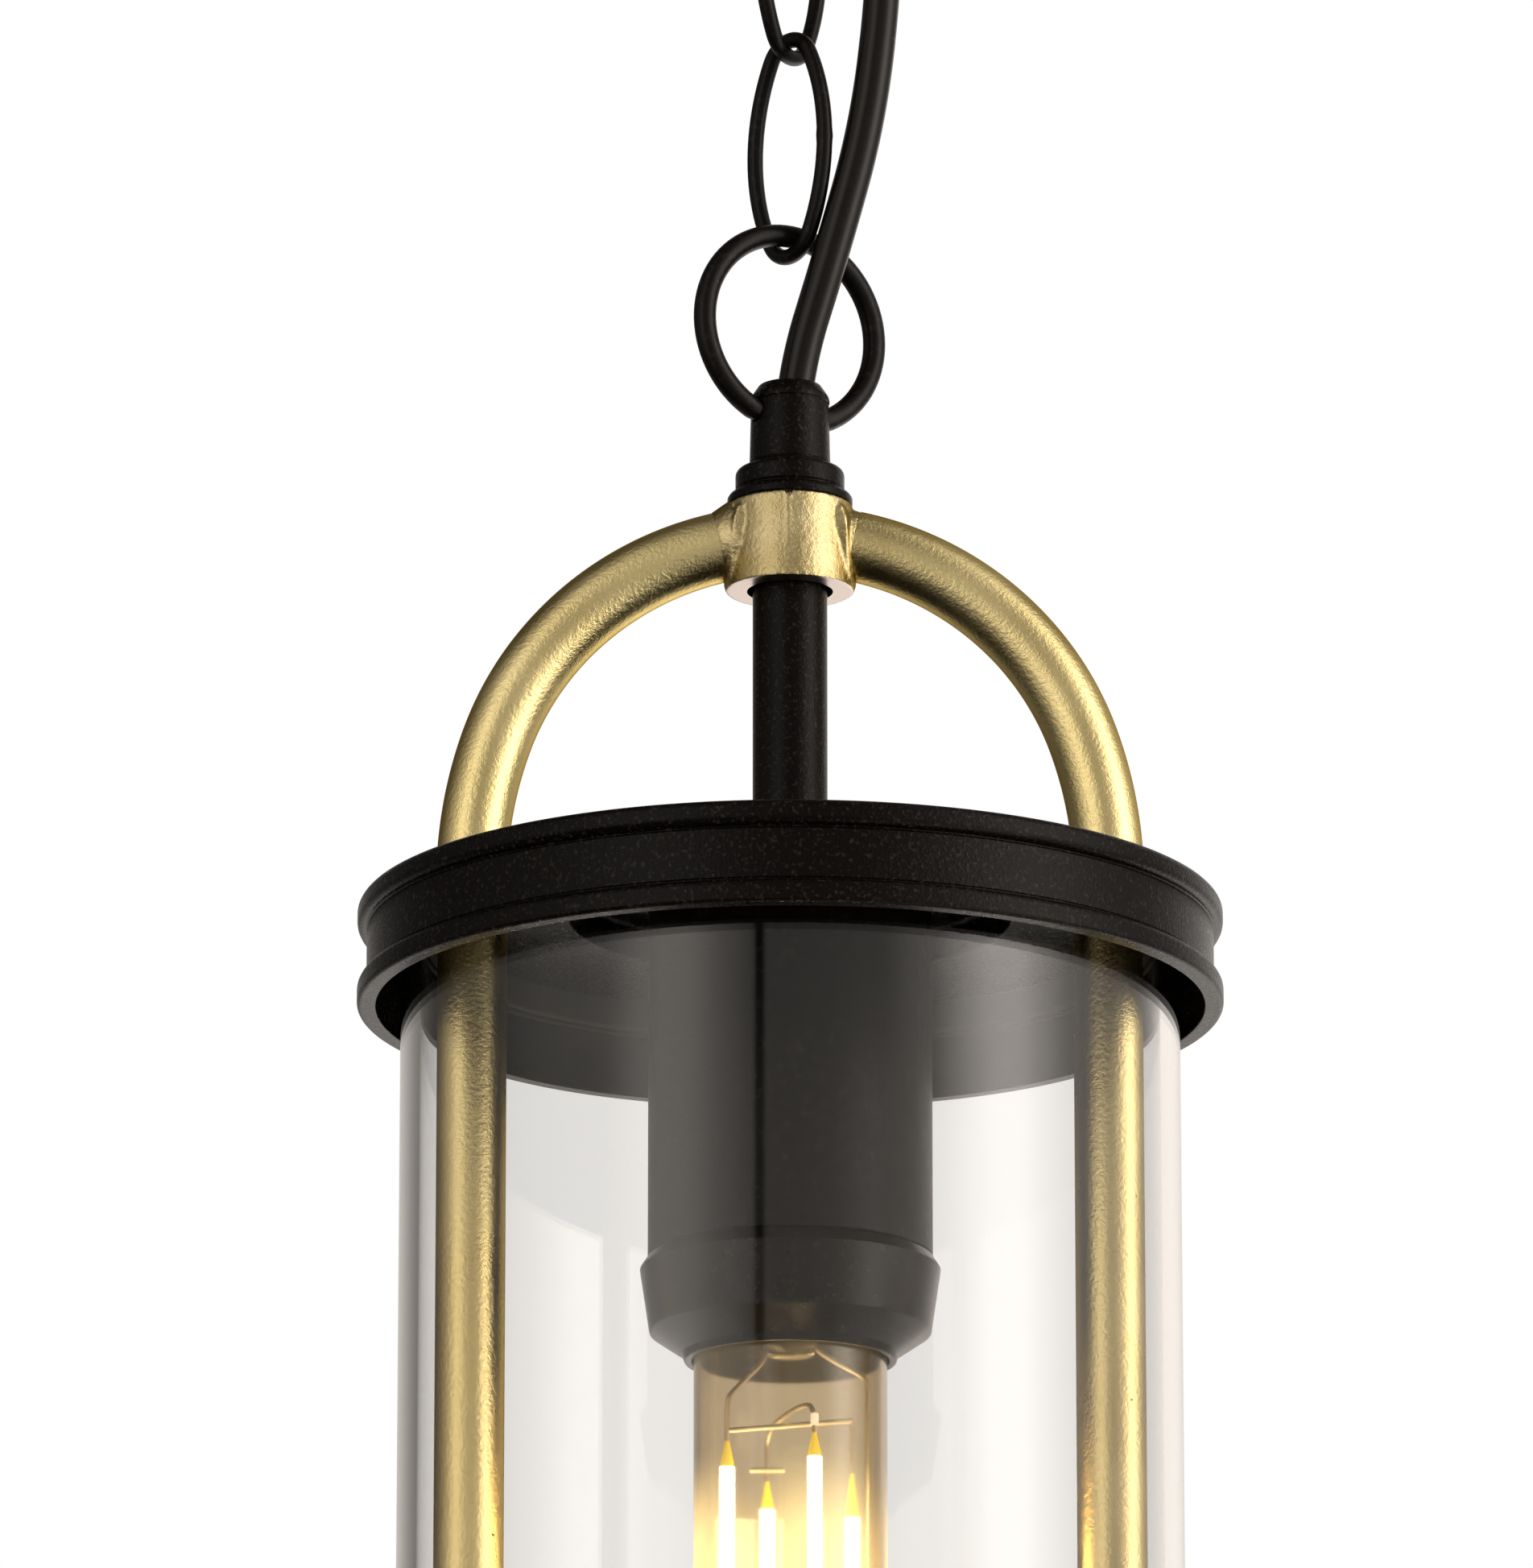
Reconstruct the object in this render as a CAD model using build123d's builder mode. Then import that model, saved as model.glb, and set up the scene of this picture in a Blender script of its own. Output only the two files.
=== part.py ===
from build123d import *
import os
from math import atan2, cos, degrees, pi, radians, sin, sqrt, tan

os.makedirs("parts", exist_ok=True)

# Hanging lantern: a clear glass cylinder between a black cap and a black base ring, carried by a
# brass hoop of two tubes that meet in a hub. A hanging ring, a short oval-link chain and a hook
# hold it under a ceiling rose, and a round flex runs beside the chain to a tubular filament bulb.
# Frame: origin at the centre of the bracket's face against the ceiling, +Z up, the hoop in XZ.

# ---- Driving dimensions, millimetres ----

# Clearances
running_gap = 0.25          # between chain pieces, and between any two pieces that move
slip_gap = 0.1              # radial, for a rod or tube that slips through a hole
thread_gap = 0.05           # radial, for a rod in its own threaded hole

# Ceiling fitting
rose_radius = 50.0
rose_height = 26.0
rose_wall = 1.5
rose_corner = 9.0
bracket_width = 18.0
bracket_thickness = 2.0
bracket_end_gap = 1.5       # between the bracket's ears and the rose's inner wall
ear_height = 14.0
fixing_spacing = 60.0       # between the two ceiling screws
fixing_hole_radius = 2.5
rose_screw_radius = 2.0
rose_screw_head_radius = 4.0
rose_screw_head_height = 2.5
rose_screw_drop = 8.0       # below the ceiling
hook_wire_radius = 1.75
hook_eye_radius = 9.0       # to the middle of the wire
hook_drop = 32.2            # from the rose down to the middle of the eye's lowest wire
hook_shank_radius = 4.0
hook_nut_flats = 13.0
hook_nut_height = 5.0
hook_collar_radius = 8.0
hook_collar_height = 5.0
grip_x = 16.0
grip_y = -5.0
grip_wall = 0.7             # of the threaded shank round the flex
grip_hub_radius = 5.0
grip_flange_radius = 6.5
grip_flange_height = 2.0
grip_tip_radius = 4.7
grip_length = 12.0          # below the rose
grip_nut_flats = 12.0
grip_nut_height = 3.0
grip_above_nut = 1.5
block_size = (12.0, 22.0, 11.0)
block_x = -18.5
block_pole_pitch = 7.0
block_pole_radius = 1.8
core_radius = 0.9
core_bend = 1.5
core_strip = 1.5            # of each core inside the connector

# Chain and hanging ring
link_wire_radius = 1.25
link_half_length = 17.8     # to the middle of the wire
link_half_width = 8.45      # to the middle of the wire
link_end_radius = 5.2
link_count = 3
link_yaw = -50.0            # the lowest link's turn about Z
link_twist = 106.5          # each next link's turn from the one below it, and the eye's from the last
ring_wire_radius = 1.75
ring_radius = 15.3          # to the middle of the wire
ring_yaw = 30.0
ring_flat = 1.4             # how far the wire's two ends are inside the ring's circle
ring_elbow_radius = 3.0
ring_end_room = 0.6         # between the flex and each end of the wire

# Loop cap, hub and hoop
neck_radius = 6.3
neck_height = 13.7
neck_dome = 2.6
neck_above_pivot = 4.7
flange_radius = 8.5
flange_height = 4.2
flange_round = 1.5
foot_radius = 9.75
foot_height = 1.7
foot_round = 0.6
cable_radius = 2.85
cable_room = 0.45           # radial, round the flex in each bore
cable_mouth = 0.8
rod_radius = 5.0
rod_thread_depth = 8.6      # up into the loop cap
hub_radius = 9.75
hub_height = 13.8
hub_bore_room = 0.9         # radial, round the stem
hub_shoulder = 4.8
hub_boss_step = 0.15        # how far a boss stands out round the tube on it
hub_boss_length = 1.5       # from the barrel to the end of each boss
hub_spigot_length = 5.4     # from the end of each boss into the tube
tube_radius = 5.5
tube_wall = 1.2
leg_room = 2.3              # between a leg and the glass
hoop_lift = 1.5             # from the hub's middle up to the hoop's centre line at the crown
hoop_stilt = 5.3            # how much the arch is higher than a half circle
hoop_crown_ease = 1.1       # how much the crown's radius is under half the span
hoop_leg_above_cap = 5.0    # straight leg between the springing and the cap
stem_room = 0.2             # radial, round the rod
stem_wall = 0.6

# Cap, base ring, glass and gaskets
cap_room = 3.85             # radial, between the glass and the cap's or base ring's skirt
band_wall = 1.45
bead_reach = 1.45           # how far a bead stands out of the band
cap_height = 15.9
bead_height = 3.7
plate_thickness = 2.0
dome_radius = 36.0
dome_height = 5.5
base_opening_margin = 3.4   # between the base ring's opening and a leg
glass_radius = 60.0
glass_wall = 3.0
glass_length = 240.0
gasket_web = 1.5
gasket_lip_wall = 1.4
gasket_lip_depth = 3.5
plug_end = 2.0              # plug above the screw's end
base_screw_radius = 2.5
base_screw_head_radius = 5.5
base_screw_head_height = 4.0
base_screw_head_round = 2.4
base_screw_reach = 10.0

# Lampholder
cup_room = 0.85             # radial, round the holder
cup_wall = 1.6
holder_below_cup = 10.8
washer_radius = 10.0
washer_height = 1.5
locknut_flats = 15.0
locknut_height = 4.0
rod_below_plate = 20.0      # from the underside of the cap's dome to the rod's lower end
holder_wall = 5.5
holder_neck_radius = 9.0
holder_top_height = 16.4
holder_taper_height = 7.0
holder_body_height = 46.0
shell_wall = 0.5
shell_length = 27.0
shell_depth = 10.0          # from the top of the holder's body down to the shell
contact_radius = 4.0
contact_height = 1.0
contact_tip_radius = 2.0
contact_reach = 6.6
skirt_top_gap = 0.3         # under the cup
skirt_wall = 2.25
skirt_flare = 1.15          # how far the flare stands out past the skirt's top
skirt_flare_drop = 1.8
skirt_taper = 0.3           # how much the foot of the taper is inside the skirt's top
skirt_below_holder = 5.6
skirt_taper_height = 4.6    # of the taper's foot above the skirt's lower edge
skirt_step_height = 4.8     # of the step that stops it under the holder
skirt_chamfer_height = 1.2
skirt_chamfer = 0.4         # how far the chamfer's foot stands out past the lip
skirt_lip_wall = 1.1
skirt_lip_depth = 2.0
skirt_bulb_room = 0.3       # radial, round the bulb

# Bulb
bulb_radius = 14.8
bulb_wall = 0.9
bulb_tip_room = 15.45       # from the filaments' lower ends to the bulb's tip
bulb_neck_room = 0.4        # radial, cement between the neck and the cap
bulb_neck_length = 3.3
bulb_shoulder_drop = 4.7
bulb_cap_radius = 13.1
bulb_cap_wall = 0.4
bulb_cap_length = 20.0
insulator_height = 3.0
insulator_top_radius = 5.0
solder_radius = 3.0
solder_height = 1.0
stem_glass_radius = 4.4
stem_flare_radius = 8.0
stem_glass_length = 13.5
filament_circle = 10.2
filament_radius = 1.1
filament_length = 118.0
filament_first_angle = 200.6
filament_stagger = 3.7
filament_below_stem = 13.65
lead_radius = 0.35
lead_bend = 0.7
lead_edge_room = 0.8        # from a lead's middle to the stem's side
lead_straight = 1.0         # of each lead below the stem
short_lead_drop = 8.9       # from the stem down to where the lead to a filament turns straight down
long_lead_drop = 4.3        # from the stem down to where the long lead reaches the wall
bridge_rise = 1.8           # from a filament's end to the wire that joins it to another
bridge_step = 2.2           # between the two bridges, which cross
long_lead_room = 2.0        # between the long lead and the bulb's wall

# ---- Sizes worked out from the ones above ----
cable_bore_radius = cable_radius + cable_room
grip_shank_radius = cable_bore_radius + grip_wall
ring_end_gap = cable_radius + ring_end_room     # from the axis to each end of the wire
ring_pivot_drop = ring_radius - ring_flat       # from the ring's centre down to its two ends
stem_radius = rod_radius + stem_room + stem_wall
hub_bore_radius = stem_radius + hub_bore_room
hub_boss_radius = tube_radius + hub_boss_step
hub_boss_reach = hub_radius + hub_boss_length
hub_spigot_reach = hub_boss_reach + hub_spigot_length
tube_bore_radius = tube_radius - tube_wall
rose_inner_radius = rose_radius - rose_wall
bracket_half_length = rose_inner_radius - bracket_end_gap
glass_inner_radius = glass_radius - glass_wall
hoop_half_span = glass_inner_radius - leg_room - tube_radius
hoop_rise = hoop_half_span + hoop_stilt         # from the springing to the crown
hoop_crown_radius = hoop_half_span - hoop_crown_ease
base_opening_radius = hoop_half_span - tube_radius - base_opening_margin
lip_inner_radius = glass_radius + cap_room
band_radius = lip_inner_radius + band_wall
bead_radius = band_radius + bead_reach
plug_length = base_screw_reach + plug_end
bulb_inner_radius = bulb_radius - bulb_wall
bulb_neck_radius = bulb_cap_radius - bulb_cap_wall - bulb_neck_room
shell_radius = bulb_cap_radius + running_gap + shell_wall
holder_radius = shell_radius + thread_gap + holder_wall
cup_radius = holder_radius + cup_room + cup_wall
skirt_bore_radius = bulb_radius + skirt_bulb_room
skirt_lip_radius = skirt_bore_radius + skirt_lip_wall
skirt_chamfer_radius = skirt_lip_radius + skirt_chamfer
skirt_top_radius = holder_radius + running_gap + skirt_wall
skirt_flare_radius = skirt_top_radius + skirt_flare
skirt_taper_radius = skirt_top_radius - skirt_taper

# ---- Levels, from the ceiling down ----
hook_wire_z = -rose_height - hook_drop
link_reach = 2 * link_wire_radius + running_gap
top_link_top_z = hook_wire_z + hook_wire_radius + link_wire_radius + running_gap
link_pitch = 2 * link_half_length - link_reach
link_centre_z = [
    top_link_top_z - link_half_length - link_pitch * (link_count - number)
    for number in range(1, link_count + 1)
]
link_low_z = [centre - link_half_length for centre in link_centre_z]
ring_top_z = link_low_z[0] + link_wire_radius + ring_wire_radius + running_gap
ring_centre_z = ring_top_z - ring_radius
ring_pivot_z = ring_centre_z - ring_pivot_drop
neck_top_z = ring_pivot_z + neck_above_pivot
neck_low_z = neck_top_z - neck_height
flange_low_z = neck_low_z - flange_height
hub_top_z = flange_low_z - foot_height
hub_low_z = hub_top_z - hub_height
hub_middle_z = hub_top_z - hub_height / 2
crown_z = hub_middle_z + hoop_lift
springing_z = crown_z - hoop_rise
cap_top_z = springing_z - hoop_leg_above_cap
cap_plate_low_z = cap_top_z - plate_thickness
lip_z = cap_top_z - cap_height
dome_top_z = cap_top_z + dome_height
dome_low_z = dome_top_z - plate_thickness
glass_top_z = cap_plate_low_z - gasket_web
glass_low_z = glass_top_z - glass_length
base_plate_top_z = glass_low_z - gasket_web
base_low_z = base_plate_top_z - plate_thickness
rim_z = base_low_z + cap_height
rod_top_z = hub_top_z + rod_thread_depth
rod_low_z = dome_low_z - rod_below_plate
washer_top_z = dome_low_z - cup_wall
locknut_top_z = washer_top_z - washer_height
holder_top_z = locknut_top_z - locknut_height
holder_body_top_z = holder_top_z - holder_top_height
holder_low_z = holder_body_top_z - holder_body_height
shell_top_z = holder_body_top_z - shell_depth
cup_low_z = holder_low_z + holder_below_cup
skirt_top_z = cup_low_z - skirt_top_gap
skirt_low_z = holder_low_z - skirt_below_holder
bulb_top_z = shell_top_z - contact_reach - running_gap
insulator_top_z = bulb_top_z - solder_height
bulb_cap_top_z = insulator_top_z - insulator_height
bulb_rim_z = bulb_cap_top_z - bulb_cap_length
stem_top_z = bulb_rim_z + bulb_neck_length
stem_low_z = stem_top_z - stem_glass_length
filament_top_z = stem_low_z - filament_below_stem
filament_low_z = filament_top_z - filament_stagger - filament_length
bulb_low_z = filament_low_z - bulb_tip_room


def hanging_plane(yaw, z):
    """An upright plane through the Z axis: its own X is level and turned by yaw, its Y is up."""
    turn = radians(yaw)
    return Plane(origin=(0, 0, z), x_dir=(cos(turn), sin(turn), 0), z_dir=(sin(turn), -cos(turn), 0))


# ---- Ceiling fitting ----

# Steel strap with an ear bent down at each end for the rose's side screws
with BuildPart() as ceiling_bracket:
    with Locations((0, 0, 0)):
        Box(
            2 * bracket_half_length, bracket_width, bracket_thickness,
            align=(Align.CENTER, Align.CENTER, Align.MAX),
        )
    for side in (-1, 1):
        with Locations((side * (bracket_half_length - bracket_thickness / 2), 0, 0)):
            Box(
                bracket_thickness, bracket_width, ear_height,
                align=(Align.CENTER, Align.CENTER, Align.MAX),
            )
    with Locations((-fixing_spacing / 2, 0, 0), (fixing_spacing / 2, 0, 0)):
        Hole(fixing_hole_radius, depth=bracket_thickness)
    Hole(hook_shank_radius + thread_gap, depth=bracket_thickness)
    with Locations(Plane(origin=(0, 0, -rose_screw_drop), z_dir=(1, 0, 0))):
        Cylinder(rose_screw_radius + thread_gap, 2 * rose_radius, mode=Mode.SUBTRACT)
ceiling_bracket.part.label = "ceiling_bracket"
export_step(ceiling_bracket.part, "parts/ceiling_bracket.step")

# Spun metal cup with its rim against the ceiling
with BuildPart() as ceiling_rose:
    Cylinder(rose_radius, rose_height, align=(Align.CENTER, Align.CENTER, Align.MAX))
    fillet(ceiling_rose.edges().group_by(Axis.Z)[0], rose_corner)
    offset(amount=-rose_wall, openings=ceiling_rose.faces().sort_by(Axis.Z)[-1])
    with Locations((0, 0, -rose_height)):
        Cylinder(hook_shank_radius + slip_gap, 4 * rose_wall, mode=Mode.SUBTRACT)
    with Locations((grip_x, grip_y, -rose_height)):
        Cylinder(grip_shank_radius + slip_gap, 4 * rose_wall, mode=Mode.SUBTRACT)
    with Locations(Plane(origin=(0, 0, -rose_screw_drop), z_dir=(1, 0, 0))):
        Cylinder(rose_screw_radius + slip_gap, 3 * rose_radius, mode=Mode.SUBTRACT)
ceiling_rose.part.label = "ceiling_rose"
export_step(ceiling_rose.part, "parts/ceiling_rose.step")

# Two thumb screws through the rose's side into the bracket's ears
with BuildPart() as rose_screws:
    for side in (-1, 1):
        screw_plane = Plane(origin=(side * rose_radius, 0, -rose_screw_drop), z_dir=(side, 0, 0))
        with Locations(screw_plane):
            Cylinder(
                rose_screw_head_radius, rose_screw_head_height + rose_wall / 2,
                align=(Align.CENTER, Align.CENTER, Align.MIN),
            )
            Cylinder(
                rose_screw_radius, rose_wall + bracket_end_gap + 2 * bracket_thickness,
                align=(Align.CENTER, Align.CENTER, Align.MAX),
            )
rose_screws.part.label = "rose_screws"
export_step(rose_screws.part, "parts/rose_screws.step")

# Closed eye with a threaded shank up through the rose and the bracket
hook_centre_z = hook_wire_z + hook_eye_radius
hook_yaw = link_yaw + link_twist * link_count
with BuildPart() as chain_hook:
    with Locations(hanging_plane(hook_yaw, hook_centre_z)):
        Torus(hook_eye_radius, hook_wire_radius)
    shank_low_z = hook_centre_z + hook_eye_radius - hook_wire_radius / 2
    with Locations((0, 0, shank_low_z)):
        Cylinder(
            hook_shank_radius, -shank_low_z - slip_gap,
            align=(Align.CENTER, Align.CENTER, Align.MIN),
        )
chain_hook.part.label = "chain_hook"
export_step(chain_hook.part, "parts/chain_hook.step")

with BuildPart() as hook_nut:
    with BuildSketch(Plane.XY.offset(-bracket_thickness)):
        RegularPolygon(hook_nut_flats / 2, 6, major_radius=False)
        Circle(hook_shank_radius + thread_gap, mode=Mode.SUBTRACT)
    extrude(amount=-hook_nut_height)
hook_nut.part.label = "hook_nut"
export_step(hook_nut.part, "parts/hook_nut.step")

# Round threaded collar that holds the rose up against the ceiling
with BuildPart() as hook_collar:
    with BuildSketch(Plane.XY.offset(-rose_height)):
        Circle(hook_collar_radius)
        Circle(hook_shank_radius + thread_gap, mode=Mode.SUBTRACT)
    extrude(amount=-hook_collar_height)
    chamfer(
        hook_collar.faces().sort_by(Axis.Z)[0].edges().sort_by(SortBy.RADIUS)[-1],
        hook_collar_height / 4,
    )
hook_collar.part.label = "hook_collar"
export_step(hook_collar.part, "parts/hook_collar.step")

# Gland in the rose's floor that grips the flex
grip_low_z = -rose_height - grip_length
grip_high_z = -rose_height + rose_wall + grip_nut_height + grip_above_nut
with BuildPart() as cord_grip:
    with BuildSketch(Plane.XZ.offset(-grip_y)):
        with BuildLine():
            Polyline(
                (grip_x + cable_bore_radius, grip_low_z),
                (grip_x + grip_tip_radius, grip_low_z),
                (grip_x + grip_hub_radius, -rose_height - grip_flange_height),
                (grip_x + grip_flange_radius, -rose_height - grip_flange_height),
                (grip_x + grip_flange_radius, -rose_height),
                (grip_x + grip_shank_radius, -rose_height),
                (grip_x + grip_shank_radius, grip_high_z),
                (grip_x + cable_bore_radius, grip_high_z),
                close=True,
            )
        make_face()
    revolve(axis=Axis((grip_x, grip_y, 0), (0, 0, 1)))
cord_grip.part.label = "cord_grip"
export_step(cord_grip.part, "parts/cord_grip.step")

with BuildPart() as cord_grip_nut:
    with BuildSketch(Plane.XY.offset(-rose_height + rose_wall)):
        with Locations((grip_x, grip_y)):
            RegularPolygon(grip_nut_flats / 2, 6, major_radius=False)
            Circle(grip_shank_radius + thread_gap, mode=Mode.SUBTRACT)
    extrude(amount=grip_nut_height)
cord_grip_nut.part.label = "cord_grip_nut"
export_step(cord_grip_nut.part, "parts/cord_grip_nut.step")

# Three-pole connector under the bracket
block_length, block_width, block_height = block_size
pole_z = -bracket_thickness - block_height / 2
with BuildPart() as terminal_block:
    with Locations((block_x, 0, -bracket_thickness)):
        Box(
            block_length, block_width, block_height,
            align=(Align.CENTER, Align.CENTER, Align.MAX),
        )
    for pole in (-1, 0, 1):
        with Locations(Plane(origin=(block_x, pole * block_pole_pitch, pole_z), z_dir=(1, 0, 0))):
            Cylinder(block_pole_radius, 2 * block_length, mode=Mode.SUBTRACT)
        with Locations((block_x, pole * block_pole_pitch, -bracket_thickness - block_height)):
            Cylinder(block_pole_radius, block_height / 2, mode=Mode.SUBTRACT)
terminal_block.part.label = "terminal_block"
export_step(terminal_block.part, "parts/terminal_block.step")

# ---- Chain and hanging ring ----

# Each link is wire bent to an oval of four arcs. The side arcs' radius is the one that makes
# them tangent to the end arcs.
end_centre = link_half_length - link_end_radius
side_radius = (end_centre**2 + link_half_width**2 - link_end_radius**2) / (
    2 * (link_half_width - link_end_radius)
)
side_centre = side_radius - link_half_width
join_angle = degrees(atan2(end_centre, side_centre))

for number, centre_z in enumerate(link_centre_z, start=1):
    link_plane = hanging_plane(link_yaw + link_twist * (number - 1), centre_z)
    with BuildPart() as chain_link:
        with BuildLine(link_plane) as link_path:
            CenterArc((-side_centre, 0), side_radius, -join_angle, 2 * join_angle)
            CenterArc((0, end_centre), link_end_radius, join_angle, 180 - 2 * join_angle)
            CenterArc((side_centre, 0), side_radius, 180 - join_angle, 2 * join_angle)
            CenterArc((0, -end_centre), link_end_radius, 180 + join_angle, 180 - 2 * join_angle)
        with BuildSketch(Plane(origin=link_path.line @ 0, z_dir=link_path.line % 0)):
            Circle(link_wire_radius)
        sweep(path=link_path.wires()[0])
    chain_link.part.label = f"chain_link_{number}"
    export_step(chain_link.part, f"parts/chain_link_{number}.step")

# Open ring of thicker wire, its two ends turned in along the line that it swings about
elbow_centre_z = -ring_pivot_drop + ring_elbow_radius
elbow_centre_x = sqrt((ring_radius - ring_elbow_radius) ** 2 - elbow_centre_z**2)
elbow_turn = degrees(atan2(elbow_centre_x, -elbow_centre_z))
with BuildPart() as hanging_ring:
    with BuildLine(hanging_plane(ring_yaw, ring_centre_z)) as ring_path:
        Line((-ring_end_gap, -ring_pivot_drop), (-elbow_centre_x, -ring_pivot_drop))
        CenterArc((-elbow_centre_x, elbow_centre_z), ring_elbow_radius, 270, -elbow_turn)
        CenterArc((0, 0), ring_radius, 270 - elbow_turn, 2 * elbow_turn - 360)
        CenterArc(
            (elbow_centre_x, elbow_centre_z), ring_elbow_radius, 270 + elbow_turn, -elbow_turn
        )
        Line((elbow_centre_x, -ring_pivot_drop), (ring_end_gap, -ring_pivot_drop))
    with BuildSketch(Plane(origin=ring_path.line @ 0, z_dir=ring_path.line % 0)):
        Circle(ring_wire_radius)
    sweep(path=ring_path.wires()[0])
hanging_ring.part.label = "hanging_ring"
export_step(hanging_ring.part, "parts/hanging_ring.step")

# ---- Loop cap, hub and hoop ----

# Turned cap with a neck for the ring's ends, screwed on the rod's upper end
with BuildPart() as loop_cap:
    with Locations((0, 0, hub_top_z)):
        Cylinder(foot_radius, foot_height, align=(Align.CENTER, Align.CENTER, Align.MIN))
    fillet(loop_cap.edges().group_by(Axis.Z)[-1], foot_round)
    with Locations((0, 0, flange_low_z)):
        Cylinder(flange_radius, flange_height, align=(Align.CENTER, Align.CENTER, Align.MIN))
    fillet(loop_cap.edges().group_by(Axis.Z)[-1], flange_round)
    with Locations((0, 0, neck_low_z)):
        Cylinder(neck_radius, neck_height, align=(Align.CENTER, Align.CENTER, Align.MIN))
    fillet(loop_cap.edges().group_by(Axis.Z)[-1], neck_dome)
    with Locations((0, 0, hub_top_z)):
        Cylinder(
            cable_bore_radius, neck_top_z - hub_top_z, mode=Mode.SUBTRACT,
            align=(Align.CENTER, Align.CENTER, Align.MIN),
        )
        Cylinder(
            rod_radius + thread_gap, rod_thread_depth, mode=Mode.SUBTRACT,
            align=(Align.CENTER, Align.CENTER, Align.MIN),
        )
    with Locations((0, 0, neck_top_z)):
        Cone(
            cable_bore_radius, cable_bore_radius + cable_mouth, 3 * cable_mouth,
            mode=Mode.SUBTRACT, align=(Align.CENTER, Align.CENTER, Align.MAX),
        )
    pivot_plane = hanging_plane(ring_yaw, ring_pivot_z)
    with Locations(Plane(origin=(0, 0, ring_pivot_z), z_dir=pivot_plane.x_dir)):
        Cylinder(ring_wire_radius + running_gap, 3 * neck_radius, mode=Mode.SUBTRACT)
loop_cap.part.label = "loop_cap"
export_step(loop_cap.part, "parts/loop_cap.step")

# The hoop's centre line is a three-centred arch: a crown arc on the axis and a side arc whose
# radius makes it tangent both to the crown arc and to the straight leg.
crown_centre = hoop_rise - hoop_crown_radius
hoop_side_radius = (hoop_half_span**2 + crown_centre**2 - hoop_crown_radius**2) / (
    2 * (hoop_half_span - hoop_crown_radius)
)
hoop_side_centre = hoop_half_span - hoop_side_radius
hoop_join_angle = degrees(atan2(crown_centre, -hoop_side_centre))
arch_plane = Plane(origin=(0, 0, springing_z), x_dir=(1, 0, 0), z_dir=(0, -1, 0))
boss_angle = degrees(atan2(hub_boss_reach, sqrt(hoop_crown_radius**2 - hub_boss_reach**2)))
spigot_angle = degrees(atan2(hub_spigot_reach, sqrt(hoop_crown_radius**2 - hub_spigot_reach**2)))

# Cast hub: a barrel with two bosses that follow the arch, each with a spigot for a tube
with BuildPart() as hub:
    for reach_angle, radius in ((boss_angle, hub_boss_radius), (spigot_angle, tube_bore_radius)):
        with BuildLine(arch_plane) as boss_path:
            CenterArc((0, crown_centre), hoop_crown_radius, 90 + reach_angle, -2 * reach_angle)
        with BuildSketch(Plane(origin=boss_path.line @ 0, z_dir=boss_path.line % 0)):
            Circle(radius)
        sweep(path=boss_path.wires()[0])
    split(bisect_by=Plane.XY.offset(hub_top_z), keep=Keep.BOTTOM)
    with Locations((0, 0, hub_middle_z)):
        Cylinder(hub_radius, hub_height)
    with Locations((0, 0, hub_low_z)):
        Cylinder(
            hub_bore_radius, hub_height - hub_shoulder, mode=Mode.SUBTRACT,
            align=(Align.CENTER, Align.CENTER, Align.MIN),
        )
        Cylinder(
            rod_radius + slip_gap, hub_height, mode=Mode.SUBTRACT,
            align=(Align.CENTER, Align.CENTER, Align.MIN),
        )
hub.part.label = "hub"
export_step(hub.part, "parts/hub.step")

# Two bent tubes, from the hub's bosses over the arch and down to the base ring's plate
leg_low = base_plate_top_z - springing_z
for name, side in (("hoop_tube_left", -1), ("hoop_tube_right", 1)):
    with BuildPart() as hoop_tube:
        with BuildLine(arch_plane) as tube_path:
            Line((side * hoop_half_span, leg_low), (side * hoop_half_span, 0))
            CenterArc(
                (side * hoop_side_centre, 0), hoop_side_radius,
                90 - side * 90, side * hoop_join_angle,
            )
            CenterArc(
                (0, crown_centre), hoop_crown_radius,
                90 - side * (90 - hoop_join_angle), side * (90 - hoop_join_angle - boss_angle),
            )
        with BuildSketch(Plane(origin=tube_path.line @ 0, z_dir=tube_path.line % 0)):
            Circle(tube_radius)
            Circle(tube_bore_radius, mode=Mode.SUBTRACT)
        sweep(path=tube_path.wires()[0])
    hoop_tube.part.label = name
    export_step(hoop_tube.part, f"parts/{name}.step")

# Thin sleeve over the rod, from the cap's dome up to the shoulder inside the hub
with BuildPart() as stem_tube:
    with BuildSketch(Plane.XY.offset(dome_top_z)):
        Circle(stem_radius)
        Circle(stem_radius - stem_wall, mode=Mode.SUBTRACT)
    extrude(amount=hub_top_z - hub_shoulder - dome_top_z)
stem_tube.part.label = "stem_tube"
export_step(stem_tube.part, "parts/stem_tube.step")

# Hollow threaded rod that clamps the loop cap, hub, stem, cap and lampholder together
with BuildPart() as threaded_rod:
    with BuildSketch(Plane.XY.offset(rod_low_z)):
        Circle(rod_radius)
        Circle(cable_bore_radius, mode=Mode.SUBTRACT)
    extrude(amount=rod_top_z - rod_low_z)
threaded_rod.part.label = "threaded_rod"
export_step(threaded_rod.part, "parts/threaded_rod.step")

# ---- Cap, base ring, glass and gaskets ----

leg_places = [(-hoop_half_span, 0), (hoop_half_span, 0)]


def bead(low_z):
    """A half-round bead round the band: the arc stands out of it over bead_height."""
    top_z = low_z + bead_height
    return (band_radius, low_z), (bead_radius, (low_z + top_z) / 2), (band_radius, top_z)


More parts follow.
